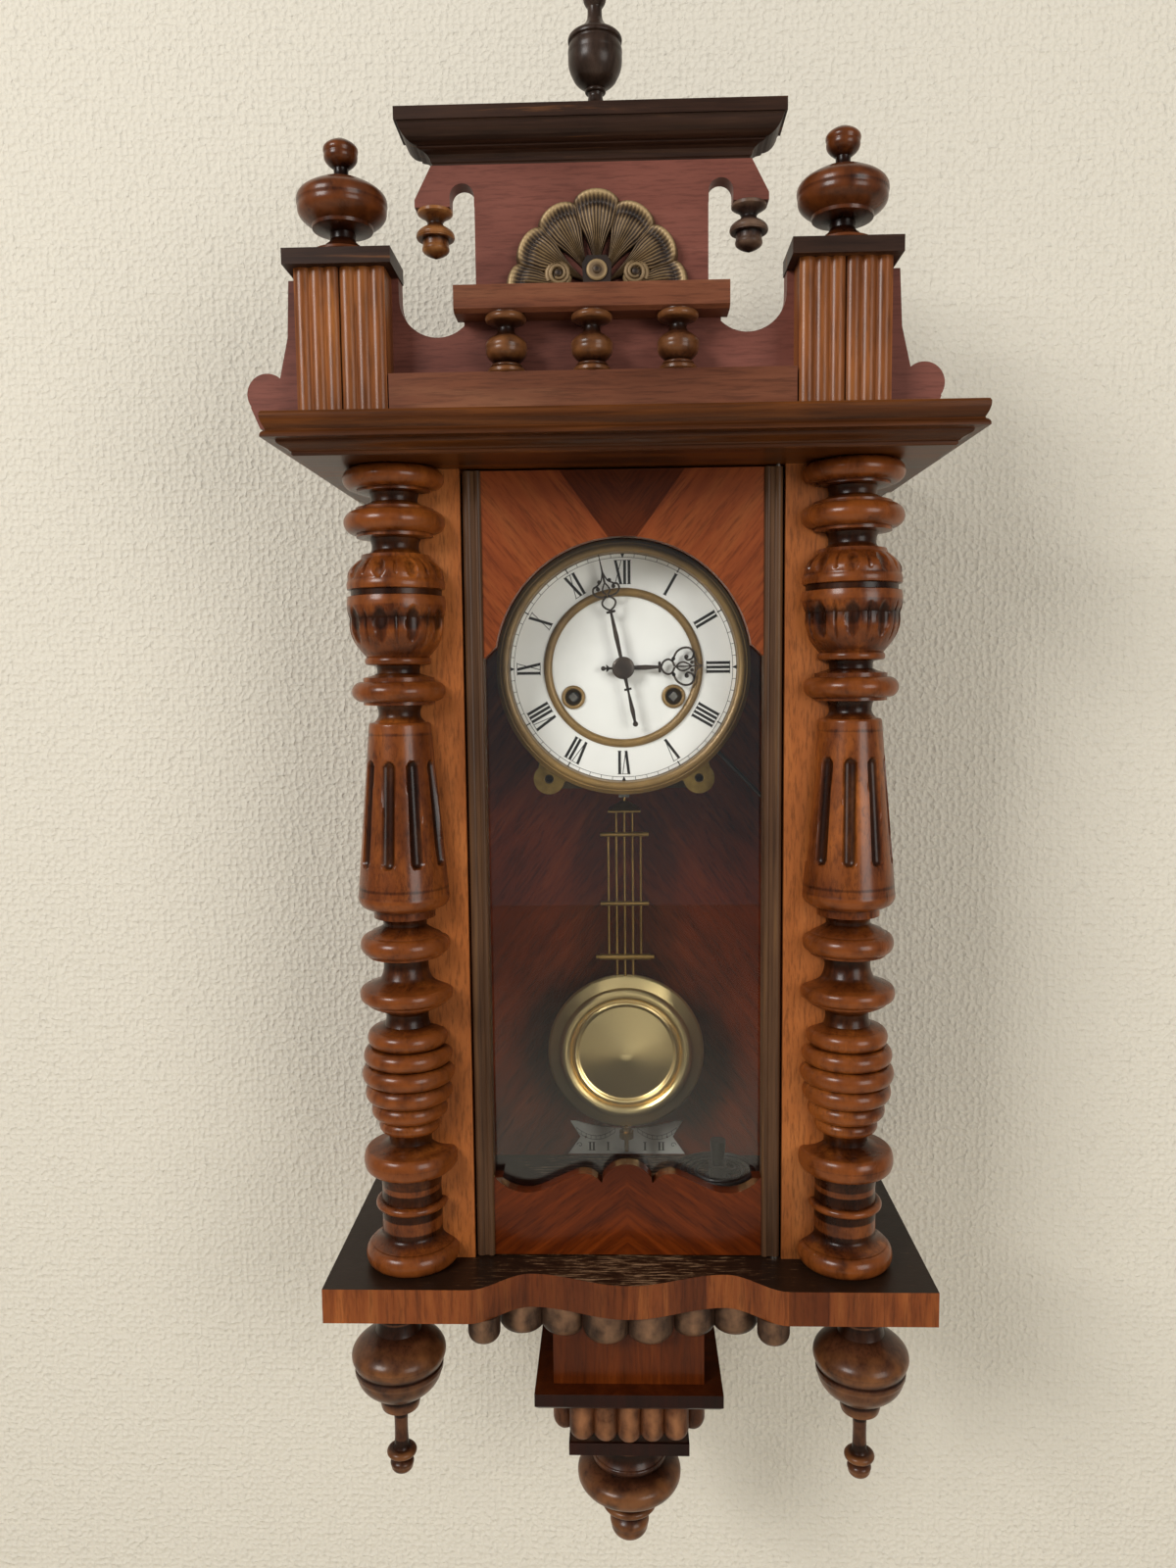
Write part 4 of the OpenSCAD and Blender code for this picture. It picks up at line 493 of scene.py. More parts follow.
def turn(rows, at, segments=96, carve=None, sweep=(0, 360)):
    """Spins a profile about an upright axis. carve(angle, height, radius) gives the carved radius.
    Where the sweep is less than a full turn, flat walls close it at the axis."""
    full = abs(sweep[1] - sweep[0]) >= 360
    count = segments if full else segments + 1
    angles = [math.radians(sweep[0] + (sweep[1] - sweep[0]) * i / segments) for i in range(count)]
    heights = [h for _, h in rows]
    marks_row = []
    for r, h in rows:
        near = [q for q, g in rows if abs(g - h) <= RIDGE_REACH]
        low, high = min(near), max(near)
        marks_row.append((r - low) / max(high - low, 2.5) if high - low > 1.0 else 0.6)
    points, marks = [], []
    for (r, h), mark in zip(rows, marks_row):
        for a in angles:
            cut = carve(a, h, r) if carve else r
            points.append((at[0] + cut * math.cos(a), at[1] + cut * math.sin(a), at[2] + h))
            # Carved hollows are marked lower by their depth, so that the finish paints shade in them
            marks.append(max(0.0, min(1.0, mark - (r - cut) * 0.35)))
    n, m = len(angles), len(rows)
    faces = []
    for j in range(m - 1):
        for i in range(n if full else n - 1):
            k = (i + 1) % n
            faces.append((j * n + i, j * n + k, (j + 1) * n + k, (j + 1) * n + i))
    low_mid = len(points)
    points += [(at[0], at[1], at[2] + heights[0]), (at[0], at[1], at[2] + heights[-1])]
    marks += [0.3, 0.3]
    for i in range(n if full else n - 1):
        k = (i + 1) % n
        faces.append((low_mid, k, i))
        faces.append((low_mid + 1, (m - 1) * n + i, (m - 1) * n + k))
    if not full:
        faces.append(tuple([low_mid] + [j * n for j in range(m)] + [low_mid + 1]))
        faces.append(tuple([low_mid + 1] + [j * n + n - 1 for j in range(m - 1, -1, -1)] + [low_mid]))
    return mesh_of(points, faces, marks)


def dent(angle, height, count, offset, centre, half_w, half_h, depth, radius, flat=False):
    """How deep a row of carved hollows cuts at this place: half_w and half_h are in millimetres."""
    step = 2 * math.pi / count
    off = (angle - offset + step / 2) % step - step / 2
    u = off * radius / half_w
    v = (height - centre) / half_h
    if flat:
        reach = max(abs(v) - 1 + half_w / half_h, 0) * half_h / half_w
        d = math.hypot(u, reach)
    else:
        d = math.hypot(u, v)
    return depth * math.sqrt(max(0.0, 1 - d * d)) if d < 1 else 0.0


def extrude_outline(outline, y_front, depth):
    """A flat piece cut from an (x, z) outline, with its front at y_front and depth behind it."""
    shape = bmesh.new()
    verts = [shape.verts.new((x, y_front, z)) for x, z in outline]
    edges = [shape.edges.new((verts[i], verts[(i + 1) % len(verts)])) for i in range(len(verts))]
    filled = bmesh.ops.triangle_fill(shape, edges=edges, use_beauty=True, normal=(0, -1, 0))
    faces = [f for f in filled["geom"] if isinstance(f, bmesh.types.BMFace)]
    pushed = bmesh.ops.extrude_face_region(shape, geom=faces)
    for vert in pushed["geom"]:
        if isinstance(vert, bmesh.types.BMVert):
            vert.co.y += depth
    bmesh.ops.recalc_face_normals(shape, faces=shape.faces)
    made = bpy.data.meshes.new("cut")
    shape.to_mesh(made)
    shape.free()
    return made


def tube(path, radii, sides):
    """A round bar along points, in millimetres, with a radius for each of them."""
    points, faces = [], []
    side = (path[1] - path[0]).normalized().orthogonal().normalized()
    for i, here in enumerate(path):
        way = (path[min(i + 1, len(path) - 1)] - path[max(i - 1, 0)]).normalized()
        side = (side - way * side.dot(way)).normalized()
        other = way.cross(side)
        for k in range(sides):
            a = math.tau * k / sides
            points.append(here + (side * math.cos(a) + other * math.sin(a)) * radii[i])
    for i in range(len(path) - 1):
        for k in range(sides):
            m = (k + 1) % sides
            faces.append((i * sides + k, i * sides + m, (i + 1) * sides + m, (i + 1) * sides + k))
    faces.append(tuple(range(sides - 1, -1, -1)))
    faces.append(tuple(range((len(path) - 1) * sides, len(path) * sides)))
    return mesh_of(points, faces, [0.7] * len(points))


def give(nodes, material):
    """A CAD node keeps its shape and gets a better finish."""
    for name in nodes:
        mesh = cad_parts[name].data
        mesh.materials.clear()
        mesh.materials.append(material)


# Turned work

# The column is drawn 477.5 mm high, and stretched to the height between the base and the cornice
DRAWN_H = 477.5
COL = (SOFFIT - FLOOR) / DRAWN_H


def column_profile():
    """Foot, reeded drum, tapered and fluted shaft, carved cup and cap of a column, from the floor up."""
    p = Profile(24.0, 0.0, 0.9)
    p.ring(28.8, 13.2).to(25.2, 13.5).curve(18.6, 21, -2.4).to(18.5, 35.2).ring(22.1, 40.2).to(18.5, 40.6)
    p.curve(19.5, 57, -0.8).curve(25.5, 59.3, -0.6).ring(28.6, 72.6).to(19, 73.2).curve(13.2, 76, -0.8)
    p.curve(14.2, 82.5, -0.6)
    for low, high, r in ((82.5, 91.5, 19), (91.5, 102.2, 23.2), (102.2, 113.6, 26.6), (113.6, 125, 28.2),
                         (125, 136, 27), (136, 147, 24.3)):
        p.to(r - 4.2, low + 0.2).ring(r, high)
    p.to(19, 147.6).to(14, 149).curve(13, 156, -0.5).ease(24, 163.2).to(26, 164.6).ring(28.1, 172.6)
    p.to(25, 173.4).curve(15, 179, -2.4).curve(14, 190, -0.9).to(22.5, 191.6).to(22.5, 193)
    p.ring(27, 204.6).to(22, 205.2).to(20, 206.6).curve(13, 210.2, -0.8).curve(14.5, 214.6, -0.5)
    p.to(18.5, 215.2).to(18.5, 219.4).curve(26.2, 223.6, 1.5).curve(27.2, 229.5, 0.7).to(18.4, 329.6)
    p.curve(17.6, 331.2, 0.2).to(15.2, 331.6).curve(12.4, 336.5, -0.8).curve(13.5, 341.2, -0.3)
    p.to(21, 341.8).to(21, 343.6).ring(27.6, 355.4).to(21, 355.8).to(21, 357.6).curve(12.7, 360.2, -0.9)
    p.curve(13.2, 364.4, -0.3).to(18.4, 365.2).ring(19.6, 369.4).curve(27.6, 392, 3.3)
    p.curve(29, 401.8, 0.6).to(28.6, 404.4).to(26.6, 405).to(26.6, 408).to(28.6, 408.6)
    p.curve(28.2, 414, 0.5).curve(20.4, 426.2, 2.6).to(19.6, 428.4).to(16.5, 428.6)
    p.curve(13.8, 431.7, -0.6).curve(15, 437.6, -0.5).to(22.5, 438.4).to(22.5, 440.2).ring(29.5, 453.4)
    p.to(22.6, 453.6).to(22.6, 455).curve(13.8, 458.6, -0.9).curve(14.6, 463.4, -0.4).to(21.4, 464)
    p.to(21.4, 465.4).ring(29.5, DRAWN_H)
    return [(r, h * COL) for r, h in p.rows]


def column_carving(angle, height, radius):
    """Nine flutes in the shaft, and nine hollows with slits between them in the cup and its lid."""
    h = height / COL
    count, first = 9, 0.35
    between = first + math.pi / count
    if 246 < h < 312:
        return radius - dent(angle, h, count, first, 278, 3.9, 31.5, 3.0, radius, flat=True)
    if 371 < h < 402:
        wide = dent(angle, h, count, first, 388, 4.2, 10.5, 1.9, radius)
        slit = dent(angle, h, count, between, 387, 0.9, 11.5, 1.0, radius)
        return radius - max(wide, slit)
    if 410 < h < 428:
        wide = dent(angle, h, count, first, 419.5, 3.6, 5.4, 1.7, radius)
        slit = dent(angle, h, count, between, 420.5, 1.1, 5.4, 1.1, radius)
        return radius - max(wide, slit)
    return radius


for side, name in ((-1, "column_left"), (1, "column_right")):
    axis = middle(name)
    # The quarter that fits over the corner of the case is left out
    sweep = (-180, 90) if side > 0 else (90, 360)
    shape = turn(column_profile(), (axis.x, axis.y, FLOOR), 150, column_carving, sweep)
    finish_piece(tidy(shape), "turned_" + name, turned_walnut, "root", [name], smooth=38)

# Drops under the corners of the base, hanging from its underside
DROP_HALF = 27.8
drop_rows = (Profile(0.2, -122.4, 0.8).curve(7.0, -116, 2.0).curve(4.2, -110.5, 1.6).curve(5.2, -109.4, -0.3)
             .ring(9.4, -104.4).to(4.6, -103).curve(4.4, -80.5, -0.35).curve(5.5, -77, -0.5).to(11.6, -76.2)
             .to(12, -75).curve(12.2, -68.8, 0.4).curve(26.8, -51.8, 3.4).to(27.4, -50.8).to(27.5, -48.2)
             .to(26.6, -47.4).curve(14.2, -25, 7.8).to(13.8, -23.6).curve(13.6, -10.6, -0.9).to(16.6, -9.4)
             .to(16.8, -2).to(15, 0).rows)
for side, name in ((-1, "left"), (1, "right")):
    x = side * (corners("base_drops")[1].x - DROP_HALF)
    shape = turn(drop_rows, (x, middle("base_drops").y, BASE_LOW))
    finish_piece(tidy(shape), "turned_base_drop_" + name, low_walnut, "root", ["base_drops"], smooth=40)

# Drop under the bracket
pendant = (Profile(0.2, -85.6, 0.8).curve(12.2, -73.6, 3.4).curve(8.8, -64.6, 2.0).to(9.8, -63.6)
           .curve(15, -60.2, -1.0).ring(18.1, -55.4).to(14.8, -54.8).curve(17.6, -50.4, -0.4)
           .curve(33.6, -38.4, 3.6).to(33.8, -36.6).curve(23, -25.6, 3.6).ring(24.2, -21.4)
           .curve(20.8, -15, -0.5).curve(22, -4.6, -0.6).ring(23.6, -0.4).to(21, 0).rows)
axis = middle("bracket_drop")
shape = turn(pendant, (axis.x, axis.y, corners("bracket_drop")[1].z))
finish_piece(tidy(shape), "turned_bracket_drop", low_walnut, "root",
             ["bracket_drop"], smooth=40)

# Finials on the two pedestals of the crest
FINIAL_HALF = 25.1
finial_rows = (Profile(16.6, 0, 0.5).to(17.6, 0.8).to(17.4, 2.2).curve(9.8, 6.6, -1.2).curve(7, 9.6, -0.4)
               .to(7, 13.4).curve(14.6, 14.8, -0.4).to(16.6, 15.2).to(16.9, 17).curve(24.4, 26.6, 2.4)
               .to(24.8, 28.6).curve(14.5, 39.4, 3.4).curve(4.3, 43.6, -0.9).curve(4.1, 47.6, -0.2)
               .curve(9.1, 55.3, 1.8).curve(0.3, 64.3, 3.7).rows)
low, high = corners("pedestal_finials")
for x, name in ((low.x + FINIAL_HALF, "left"), (high.x - FINIAL_HALF, "right")):
    shape = turn(finial_rows, (x, (low.y + high.y) / 2, low.z))
    finish_piece(tidy(shape), "turned_pedestal_finial_" + name, finial_walnut, "root", ["pedestal_finials"],
                 smooth=40)

# Three balusters between the plinth and the ledge
BALUSTER_HALF = 11.7
low, high = corners("crest_balusters")
rise = high.z - low.z
baluster = (Profile(9.6, 0, 0.4).to(10.5, 0.9).to(10.5, 2.4).to(9.6, 3.3).to(8, 3.5).ring(8.9, 5.4)
            .to(6.2, 5.9).curve(11.4, 13.6, 1.7).curve(5.4, 21.6, 2.3).curve(4.6, 25, -0.2)
            .curve(8.4, 27.4, -0.8).to(9.4, 27.8).ring(11.3, rise - 0.4).to(9.4, rise).rows)
for i in range(3):
    x = low.x + BALUSTER_HALF + i * (high.x - low.x - 2 * BALUSTER_HALF) / 2
    shape = turn(baluster, (x, (low.y + high.y) / 2, low.z), 64)
    finish_piece(tidy(shape), "turned_baluster_%d" % (i + 1), low_walnut, "root", ["crest_balusters"],
                 smooth=40)

# Urn on the top moulding
low, high = corners("crest_finial")
urn = (Profile(8.6, 0, 0.5).to(9, 1).to(8.8, 2.8).curve(4.2, 9.5, -1.2).curve(4.4, 12.4, -0.3)
       .ring(5.8, 14.8).curve(11.5, 19.5, 1.0).curve(14.8, 32, 1.2).curve(14.4, 37, 0.3).to(13.6, 37.6)
       .to(13.6, 38.6).to(14.8, 39.2).curve(11.4, 43.8, 1.3).curve(4.3, 51, -1.2).curve(4.0, 57, -0.2)
       .curve(6.2, 63.4, 0.9).curve(0.3, 70, 2.4).rows)
finish_piece(tidy(turn(urn, ((low.x + high.x) / 2, (low.y + high.y) / 2, low.z), 80)), "turned_urn_finial",
             ebonised, "root", ["crest_finial"], smooth=40)

# Acorns under the ears of the crest board
ACORN_HALF = 10.8
acorn = (Profile(0.3, -25.9, 0.3).curve(7.3, -19.2, 3.0).to(7.3, -15.6).to(10.3, -15.4).to(10.8, -14.4)
         .curve(5.4, -8.6, 1.6).curve(4.4, -6.4, -0.4).curve(8.8, -2.6, -0.8).to(9.8, -1.9).to(9.9, -0.4)
         .to(9.4, 0).rows)


def acorn_cup(angle, height, radius):
    """Fine crossed cuts round the cup."""
    if -15.4 < height < -8.8:
        return radius - 0.28 * (math.sin(angle * 22) * math.sin(height * 2.2)) ** 2
    return radius


low, high = corners("acorn_drops")
for x, name, finish in ((low.x + ACORN_HALF, "left", acorn_light),
                        (high.x - ACORN_HALF, "right", acorn_dark)):
    shape = turn(acorn, (x, (low.y + high.y) / 2, high.z), 88, acorn_cup)
    finish_piece(tidy(shape), "turned_acorn_" + name, finish, "root", ["acorn_drops"], smooth=45)

# What repeats: one shape set on many places


def open_tree(name, inputs):
    """A geometry tree with named inputs, and the node that gives them."""
    tree = bpy.data.node_groups.new(name, "GeometryNodeTree")
    tree.interface.new_socket("Places", in_out="INPUT", socket_type="NodeSocketGeometry")
    for key, kind in inputs:
        tree.interface.new_socket(key, in_out="INPUT", socket_type=kind)
    tree.interface.new_socket("Made", in_out="OUTPUT", socket_type="NodeSocketGeometry")
    return tree, add(tree, "NodeGroupInput").outputs


def close_tree(tree, copies, finish):
    """Ends a tree: copies made real, with their finish."""
    solid = add(tree, "GeometryNodeRealizeInstances", {0: copies}).outputs[0]
    finished = add(tree, "GeometryNodeSetMaterial", {"Geometry": solid, "Material": finish}).outputs[0]
    add(tree, "NodeGroupOutput", {0: finished})


def ring_tree():
    """Bars set radially at even steps round a ring, as the ticks of a minute track are."""
    tree, given = open_tree("ring_of_bars", (("Count", "NodeSocketInt"), ("Radius", "NodeSocketFloat"),
                                             ("Width", "NodeSocketFloat"), ("Length", "NodeSocketFloat"),
                                             ("Depth", "NodeSocketFloat"), ("Finish", "NodeSocketMaterial")))
    ring = add(tree, "GeometryNodeMeshCircle",
               {"Vertices": given["Count"], "Radius": given["Radius"]}).outputs[0]
    size = add(tree, "ShaderNodeCombineXYZ", {0: given["Length"], 1: given["Width"],
                                              2: given["Depth"]}).outputs[0]
    bar = add(tree, "GeometryNodeMeshCube", {"Size": size}).outputs[0]
    index = add(tree, "GeometryNodeInputIndex").outputs[0]
    step = add(tree, "ShaderNodeMath", {0: math.tau, 1: given["Count"]}, operation="DIVIDE").outputs[0]
    angle = add(tree, "ShaderNodeMath", {0: index, 1: step}, operation="MULTIPLY").outputs[0]
    turned = add(tree, "ShaderNodeCombineXYZ", {2: angle}).outputs[0]
    copies = add(tree, "GeometryNodeInstanceOnPoints", {"Points": ring, "Instance": bar,
                                                        "Rotation": turned}).outputs[0]
    close_tree(tree, copies, given["Finish"])
    return tree


def place_tree():
    """One shape on every place, turned and sized as the place says."""
    tree, given = open_tree("shape_on_places", (("Shape", "NodeSocketObject"),
                                                ("Finish", "NodeSocketMaterial")))
    shape = add(tree, "GeometryNodeObjectInfo", {"Object": given["Shape"]}).outputs["Geometry"]
    turned = add(tree, "GeometryNodeInputNamedAttribute", {"Name": "turned"},
                 data_type="FLOAT_VECTOR").outputs[0]
    sized = add(tree, "GeometryNodeInputNamedAttribute", {"Name": "sized"},
                data_type="FLOAT_VECTOR").outputs[0]
    copies = add(tree, "GeometryNodeInstanceOnPoints", {"Points": given["Places"], "Instance": shape,
                                                        "Rotation": turned, "Scale": sized})
    close_tree(tree, copies.outputs[0], given["Finish"])
    return tree


def run_tree(tree, mesh, values):
    """The plain mesh that a tree makes from a mesh."""
    host = bpy.data.objects.new("host", mesh)
    bpy.context.scene.collection.objects.link(host)
    modifier = host.modifiers.new("made", "NODES")
    modifier.node_group = tree
    for item in tree.interface.items_tree:
        if item.in_out == "INPUT" and item.name in values:
            modifier[item.identifier] = values[item.name]
    bpy.context.view_layer.update()
    ready = host.evaluated_get(bpy.context.evaluated_depsgraph_get())
    made = bpy.data.meshes.new_from_object(ready)
    host.modifiers.remove(modifier)
    bpy.data.objects.remove(host)
    made.materials.clear()
    return made


RING, PLACES = ring_tree(), place_tree()


def ring_of_bars(count, radius, width, length, depth, finish, y):
    """Bars on the face of the dial, at y."""
    values = {"Count": count, "Radius": radius, "Width": width, "Length": length, "Depth": depth,
              "Finish": finish}
    made = run_tree(RING, bpy.data.meshes.new("empty"), values)
    made.transform(Matrix.Translation((DIAL.x, y, DIAL.z)) @ FORWARDS)
    return made


def copies_of(shape, places, finish):
    """places are (point, turn about the three axes in degrees, size along the three axes)."""
    kept = bpy.data.objects.new("pattern", shape)
    bpy.context.scene.collection.objects.link(kept)
    mesh = mesh_of([place[0] for place in places], [])
    turned = [[math.radians(a) for a in place[1]] for place in places]
    for key, values in (("turned", turned), ("sized", [place[2] for place in places])):
        layer = mesh.attributes.new(key, "FLOAT_VECTOR", "POINT")
        layer.data.foreach_set("vector", [v for value in values for v in value])
    made = run_tree(PLACES, mesh, {"Shape": kept, "Finish": finish})
    bpy.data.objects.remove(kept)
    return made


# Carved gadroons and shell


def bullet(r, h, end, blunt):
    """An upright lobe with a rounded lower end, hanging from height 0, marked as a ridge down the middle of
    its front, where the finish paints wear and a highlight, with painted shade at its sides.
    The end is end mm high, and the flatter the smaller blunt is."""
    quarter = [math.pi / 2 * i / 11 for i in range(12)]
    rows = [(r * math.sin(a) ** blunt, -h + end * (1 - math.cos(a))) for a in quarter]
    rows[0] = (0.05, -h)
    rows += [(r, -h + end + (h - end) * i / 5) for i in range(1, 6)]
    mesh = turn(rows, (0, 0, 0), 32)
    layer = mesh.attributes["ridge"].data
    for vert in mesh.vertices:
        # The front middle of the lobe is marked high, for its painted highlight, and its sides low, for
        # painted shade
        front = math.hypot(vert.co.x * 0.8, vert.co.y) / r
        layer[vert.index].value = 0.25 + 0.7 * max(0.0, 1 - abs(vert.co.x) / r) * min(1.0, front)
    return tidy(mesh)


def serpentine(x):
    """The front line of the base, as far behind its straight front, in millimetres."""
    half, dip, mid = 95.0, 19.0, 5.5
    a = abs(x)
    edge = half * 0.62
    if a >= half:
        return 0.0
    if a > edge:
        return dip * (1 - math.cos(math.pi * (half - a) / (half - edge))) / 2
    return mid + (dip - mid) * (1 - math.cos(math.pi * a / edge)) / 2


# Base gadroon: six lobes that follow the front of the base, and a small one at each end
LOBE_STEP, LOBE_SET_BACK = 26.1, 15.8
END_LOBE_X, END_LOBE_SET_BACK = 86.6, 12.4
high = corners("base_gadroon")[1]
base_front = corners("base_board")[0].y
places = []
for i in range(6):
    x = (i - 2.5) * LOBE_STEP
    places.append(((x, base_front + serpentine(x) + LOBE_SET_BACK, high.z), (0, 0, 0), (1, 1, 1)))
for x in (-END_LOBE_X, END_LOBE_X):
    places.append(((x, base_front + END_LOBE_SET_BACK, high.z), (0, 0, 0), (0.66, 0.66, 0.82)))
lobes = copies_of(bullet(14.7, 20.8, 8.0, 0.6), places, gadroon_stain)
finish_piece(lobes, "carved_base_gadroon", gadroon_stain, "root", ["base_gadroon"], smooth=50)

# Bracket gadroon: five lobes on each side of a square core
REED_STEP, REED_INSET, CORE_HALF = 14.4, 7.7, 36.4
low, high = corners("bracket_gadroon")
mid_x, mid_y = (low.x + high.x) / 2, (low.y + high.y) / 2
reach = (high.x - low.x) / 2 - REED_INSET
places = []
for side in range(4):
    for i in range(-2, 3):
        spot = Matrix.Rotation(math.pi / 2 * side, 3, "Z") @ Vector((i * REED_STEP, -reach, 0))
        places.append(((mid_x + spot.x, mid_y + spot.y, high.z), (0, 0, 90 * side),
                       (1, 0.92, 1 - 0.03 * abs(i))))
lobes = copies_of(bullet(8.2, high.z - low.z - 4, 9.0, 0.9), places, gadroon_red)
core_left, core_right = mid_x - CORE_HALF, mid_x + CORE_HALF
core = [(core_left, low.z), (core_right, low.z), (core_right, high.z), (core_left, high.z)]
lobes = join_meshes([lobes, extrude_outline(core, mid_y - CORE_HALF, 2 * CORE_HALF)])
finish_piece(lobes, "carved_bracket_gadroon", gadroon_red, "root", ["bracket_gadroon"], smooth=50)

# Shell: seven leaves with rolled lips and fine ribs, drawn as heights over a fan
low, high = corners("shell_ornament")
HEART = Vector(((low.x + high.x) / 2, high.y, low.z + 1.5))


def leaf(number, reach, rise):
    """One leaf of the shell: u runs across it and v from the heart to the lip."""
    across, along = 46, 54
    points, marks, faces = [], [], []
    middle_angle = 90 + 29 * number
    for j in range(along + 1):
        v = j / along
        for i in range(across + 1):
            u = -1 + 2 * i / across
            edge = reach - 5.5 * (1 - math.sqrt(max(0.0, 1 - 0.985 * u * u)))
            r = 8 + (edge - 8) * v
            angle = math.radians(middle_angle + 15.3 * u * min(1.0, 0.25 + 1.2 * v))
            swell = 0.9 + 3.0 * math.sin(math.pi * min(1.0, v * 0.62 + 0.1))
            dome_part = math.sqrt(max(0.0, 1 - u * u)) * swell
            lip = 1.5 * math.exp(-((v - 0.93) / 0.045) ** 2) * (1 - 0.5 * u * u)
            hook = -1.7 * math.exp(-((v - 0.82) / 0.05) ** 2) * max(0.0, 1 - u * u)
            fade = 1 - math.exp(-((v - 1) / 0.12) ** 2)
            ribs = 0.34 * math.cos(11 * math.pi * u) * min(1.0, 3 * v) * fade
            height = 2.2 + rise + dome_part + lip + hook + ribs
            fall = max(0.0, (v - 0.97) / 0.03)
            height *= 1 - 0.85 * fall
            points.append((HEART.x + r * math.cos(angle), HEART.y - height, HEART.z + r * math.sin(angle)))
            # The lips are marked high, for a painted highlight, and the hollow under each lip low, for
            # painted shade
            marks.append(min(1.0, max(0.0, 0.12 + dome_part * 0.09 + lip * 0.45 + hook * 0.3 + ribs * 1.1)))
    back = len(points)
    w = across + 1
    rim = list(range(w)) + [j * w + across for j in range(1, along + 1)]
    rim += [along * w + i for i in range(across - 1, -1, -1)] + [j * w for j in range(along - 1, 0, -1)]
    for k in rim:
        points.append((points[k][0], HEART.y - 0.01, points[k][2]))
        marks.append(0.0)
    for j in range(along):
        for i in range(across):
            faces.append((j * w + i, j * w + i + 1, (j + 1) * w + i + 1, (j + 1) * w + i))
    for k in range(len(rim)):
        m = (k + 1) % len(rim)
        faces.append((rim[m], rim[k], back + k, back + m))
    faces.append(tuple(range(back, len(points))))
    return tidy(mesh_of(points, faces, marks), 0.0001)


def volute(side):
    """A scroll beside the heart: a bar that winds in and forwards over a turned disc."""
    spot = Vector((HEART.x + side * 21.4, HEART.y, HEART.z + 7.6))
    coil = []
    for i in range(30):
        r, a = 6.4 - 0.35 * i / 3, i * 0.42 - 0.6
        coil.append(spot + Vector((side * r * math.cos(a), -4.4 - i * 0.09, r * math.sin(a))))
    disc = Profile(7.2, 0, 0.6).to(7.4, 1).curve(6.6, 4.2, 0.4).curve(2.0, 5.2, 0.3)
    disc = turn(disc.curve(1.9, 6.6, 0.3).curve(0.1, 7.6, 0.9).rows, (0, 0, 0), 40)
    disc.transform(Matrix.Translation(spot) @ FORWARDS)
    return [tube(coil, [1.7 - 0.03 * i for i in range(30)], 10), disc]


# Half of the leaves as (number from the middle, reach from the heart, rise of its face)
LEAVES = ((0, 53.2, 1.2), (1, 51, 0.2), (2, 50, 0.8), (3, 51, 0))
parts = [leaf(-n, reach, rise) for n, reach, rise in LEAVES[:0:-1]]
parts += [leaf(n, reach, rise) for n, reach, rise in LEAVES]
parts += volute(-1) + volute(1)
half_block = [(7.4, -1.4), (8.2, 12), (5.4, 16.4)]
block = [(HEART.x + x, HEART.z + z) for x, z in half_block]
block += [(HEART.x - x, HEART.z + z) for x, z in reversed(half_block)]
parts.append(extrude_outline(block, HEART.y - 7.2, 7.0))
rosette = (Profile(5.4, 0, 0.4).curve(5.0, 1.6, 0.6).curve(2.2, 1.9, -0.5).curve(2.0, 2.5, 0.3)
           .curve(0.1, 3.0, 0.5).rows)
rosette = turn(rosette, (0, 0, 0), 40)
rosette.transform(Matrix.Translation(HEART + Vector((0, -7.1, 8.4))) @ FORWARDS)
parts.append(rosette)
finish_piece(join_meshes(parts), "bronze_shell", old_bronze, "root", ["shell_ornament"], smooth=60)

# Finishes of the CAD nodes that keep their shape

give(["side_panels"], case_wood)
give(["back_board"], back_veneer)
give(["cornice"], cornice_walnut)
give(["front_boards"], front_veneer)
give(["hanger_plate", "door_pins", "going_arbor", "strike_arbor", "anchor"], clock_steel)
give(["crest_board"], crest_mahogany)
give(["crest_plinth", "crest_ledge"], ledge_walnut)
give(["crest_pedestals"], reed_walnut)
give(["pedestal_caps", "crest_cornice"], worn_dark)
give(["door_stiles"], stile_wood)
give(["door_mask"], veneer_mask)
give(["door_apron"], veneer_apron)
give(["door_glass"], door_glass)
give(["hammer", "gong_post"], japanned_iron)
give(["gong_coil"], gong_wire)
give(["movement_bracket"], cast_brass)
give(["movement_plates", "plate_pillars", "going_barrel", "strike_barrel", "centre_wheel", "third_wheel",
      "escape_wheel", "minute_wheel", "hour_wheel", "cannon_pinion", "pin_wheel", "warning_wheel", "fly",
      "suspension_cock"], plate_brass)
give(["dial"], dial_enamel)
give(["bezel", "inner_ring"], bezel_brass)
give(["pendulum_rods", "rating_nut"], old_brass)
give(["beat_plate"], plate_enamel)
give(["bracket_block"], bracket_wood)
give(["base_board"], edge_veneer)

# Figures of the dial and beat plate


def prisms(shapes, y, depth=0.12):
    """Flat (x, z) outlines laid on a face at y, standing a little proud of it."""
    points, faces = [], []
    for outline in shapes:
        k, n = len(points), len(outline)
        points += [(x, y - depth, z) for x, z in outline] + [(x, y + 0.02, z) for x, z in outline]
        faces.append(tuple(range(k, k + n)))
        faces.append(tuple(range(k + 2 * n - 1, k + n - 1, -1)))
        faces += [(k + i, k + n + i, k + n + (i + 1) % n, k + (i + 1) % n) for i in range(n)]
    return tidy(mesh_of(points, faces), 0.0001)


def bar(u0, r0, u1, r1, width):
    """A stroke on the dial; u runs to the side and r outwards from its middle."""
    return [(u0 - width / 2, r0), (u0 + width / 2, r0), (u1 + width / 2, r1), (u1 - width / 2, r1)]


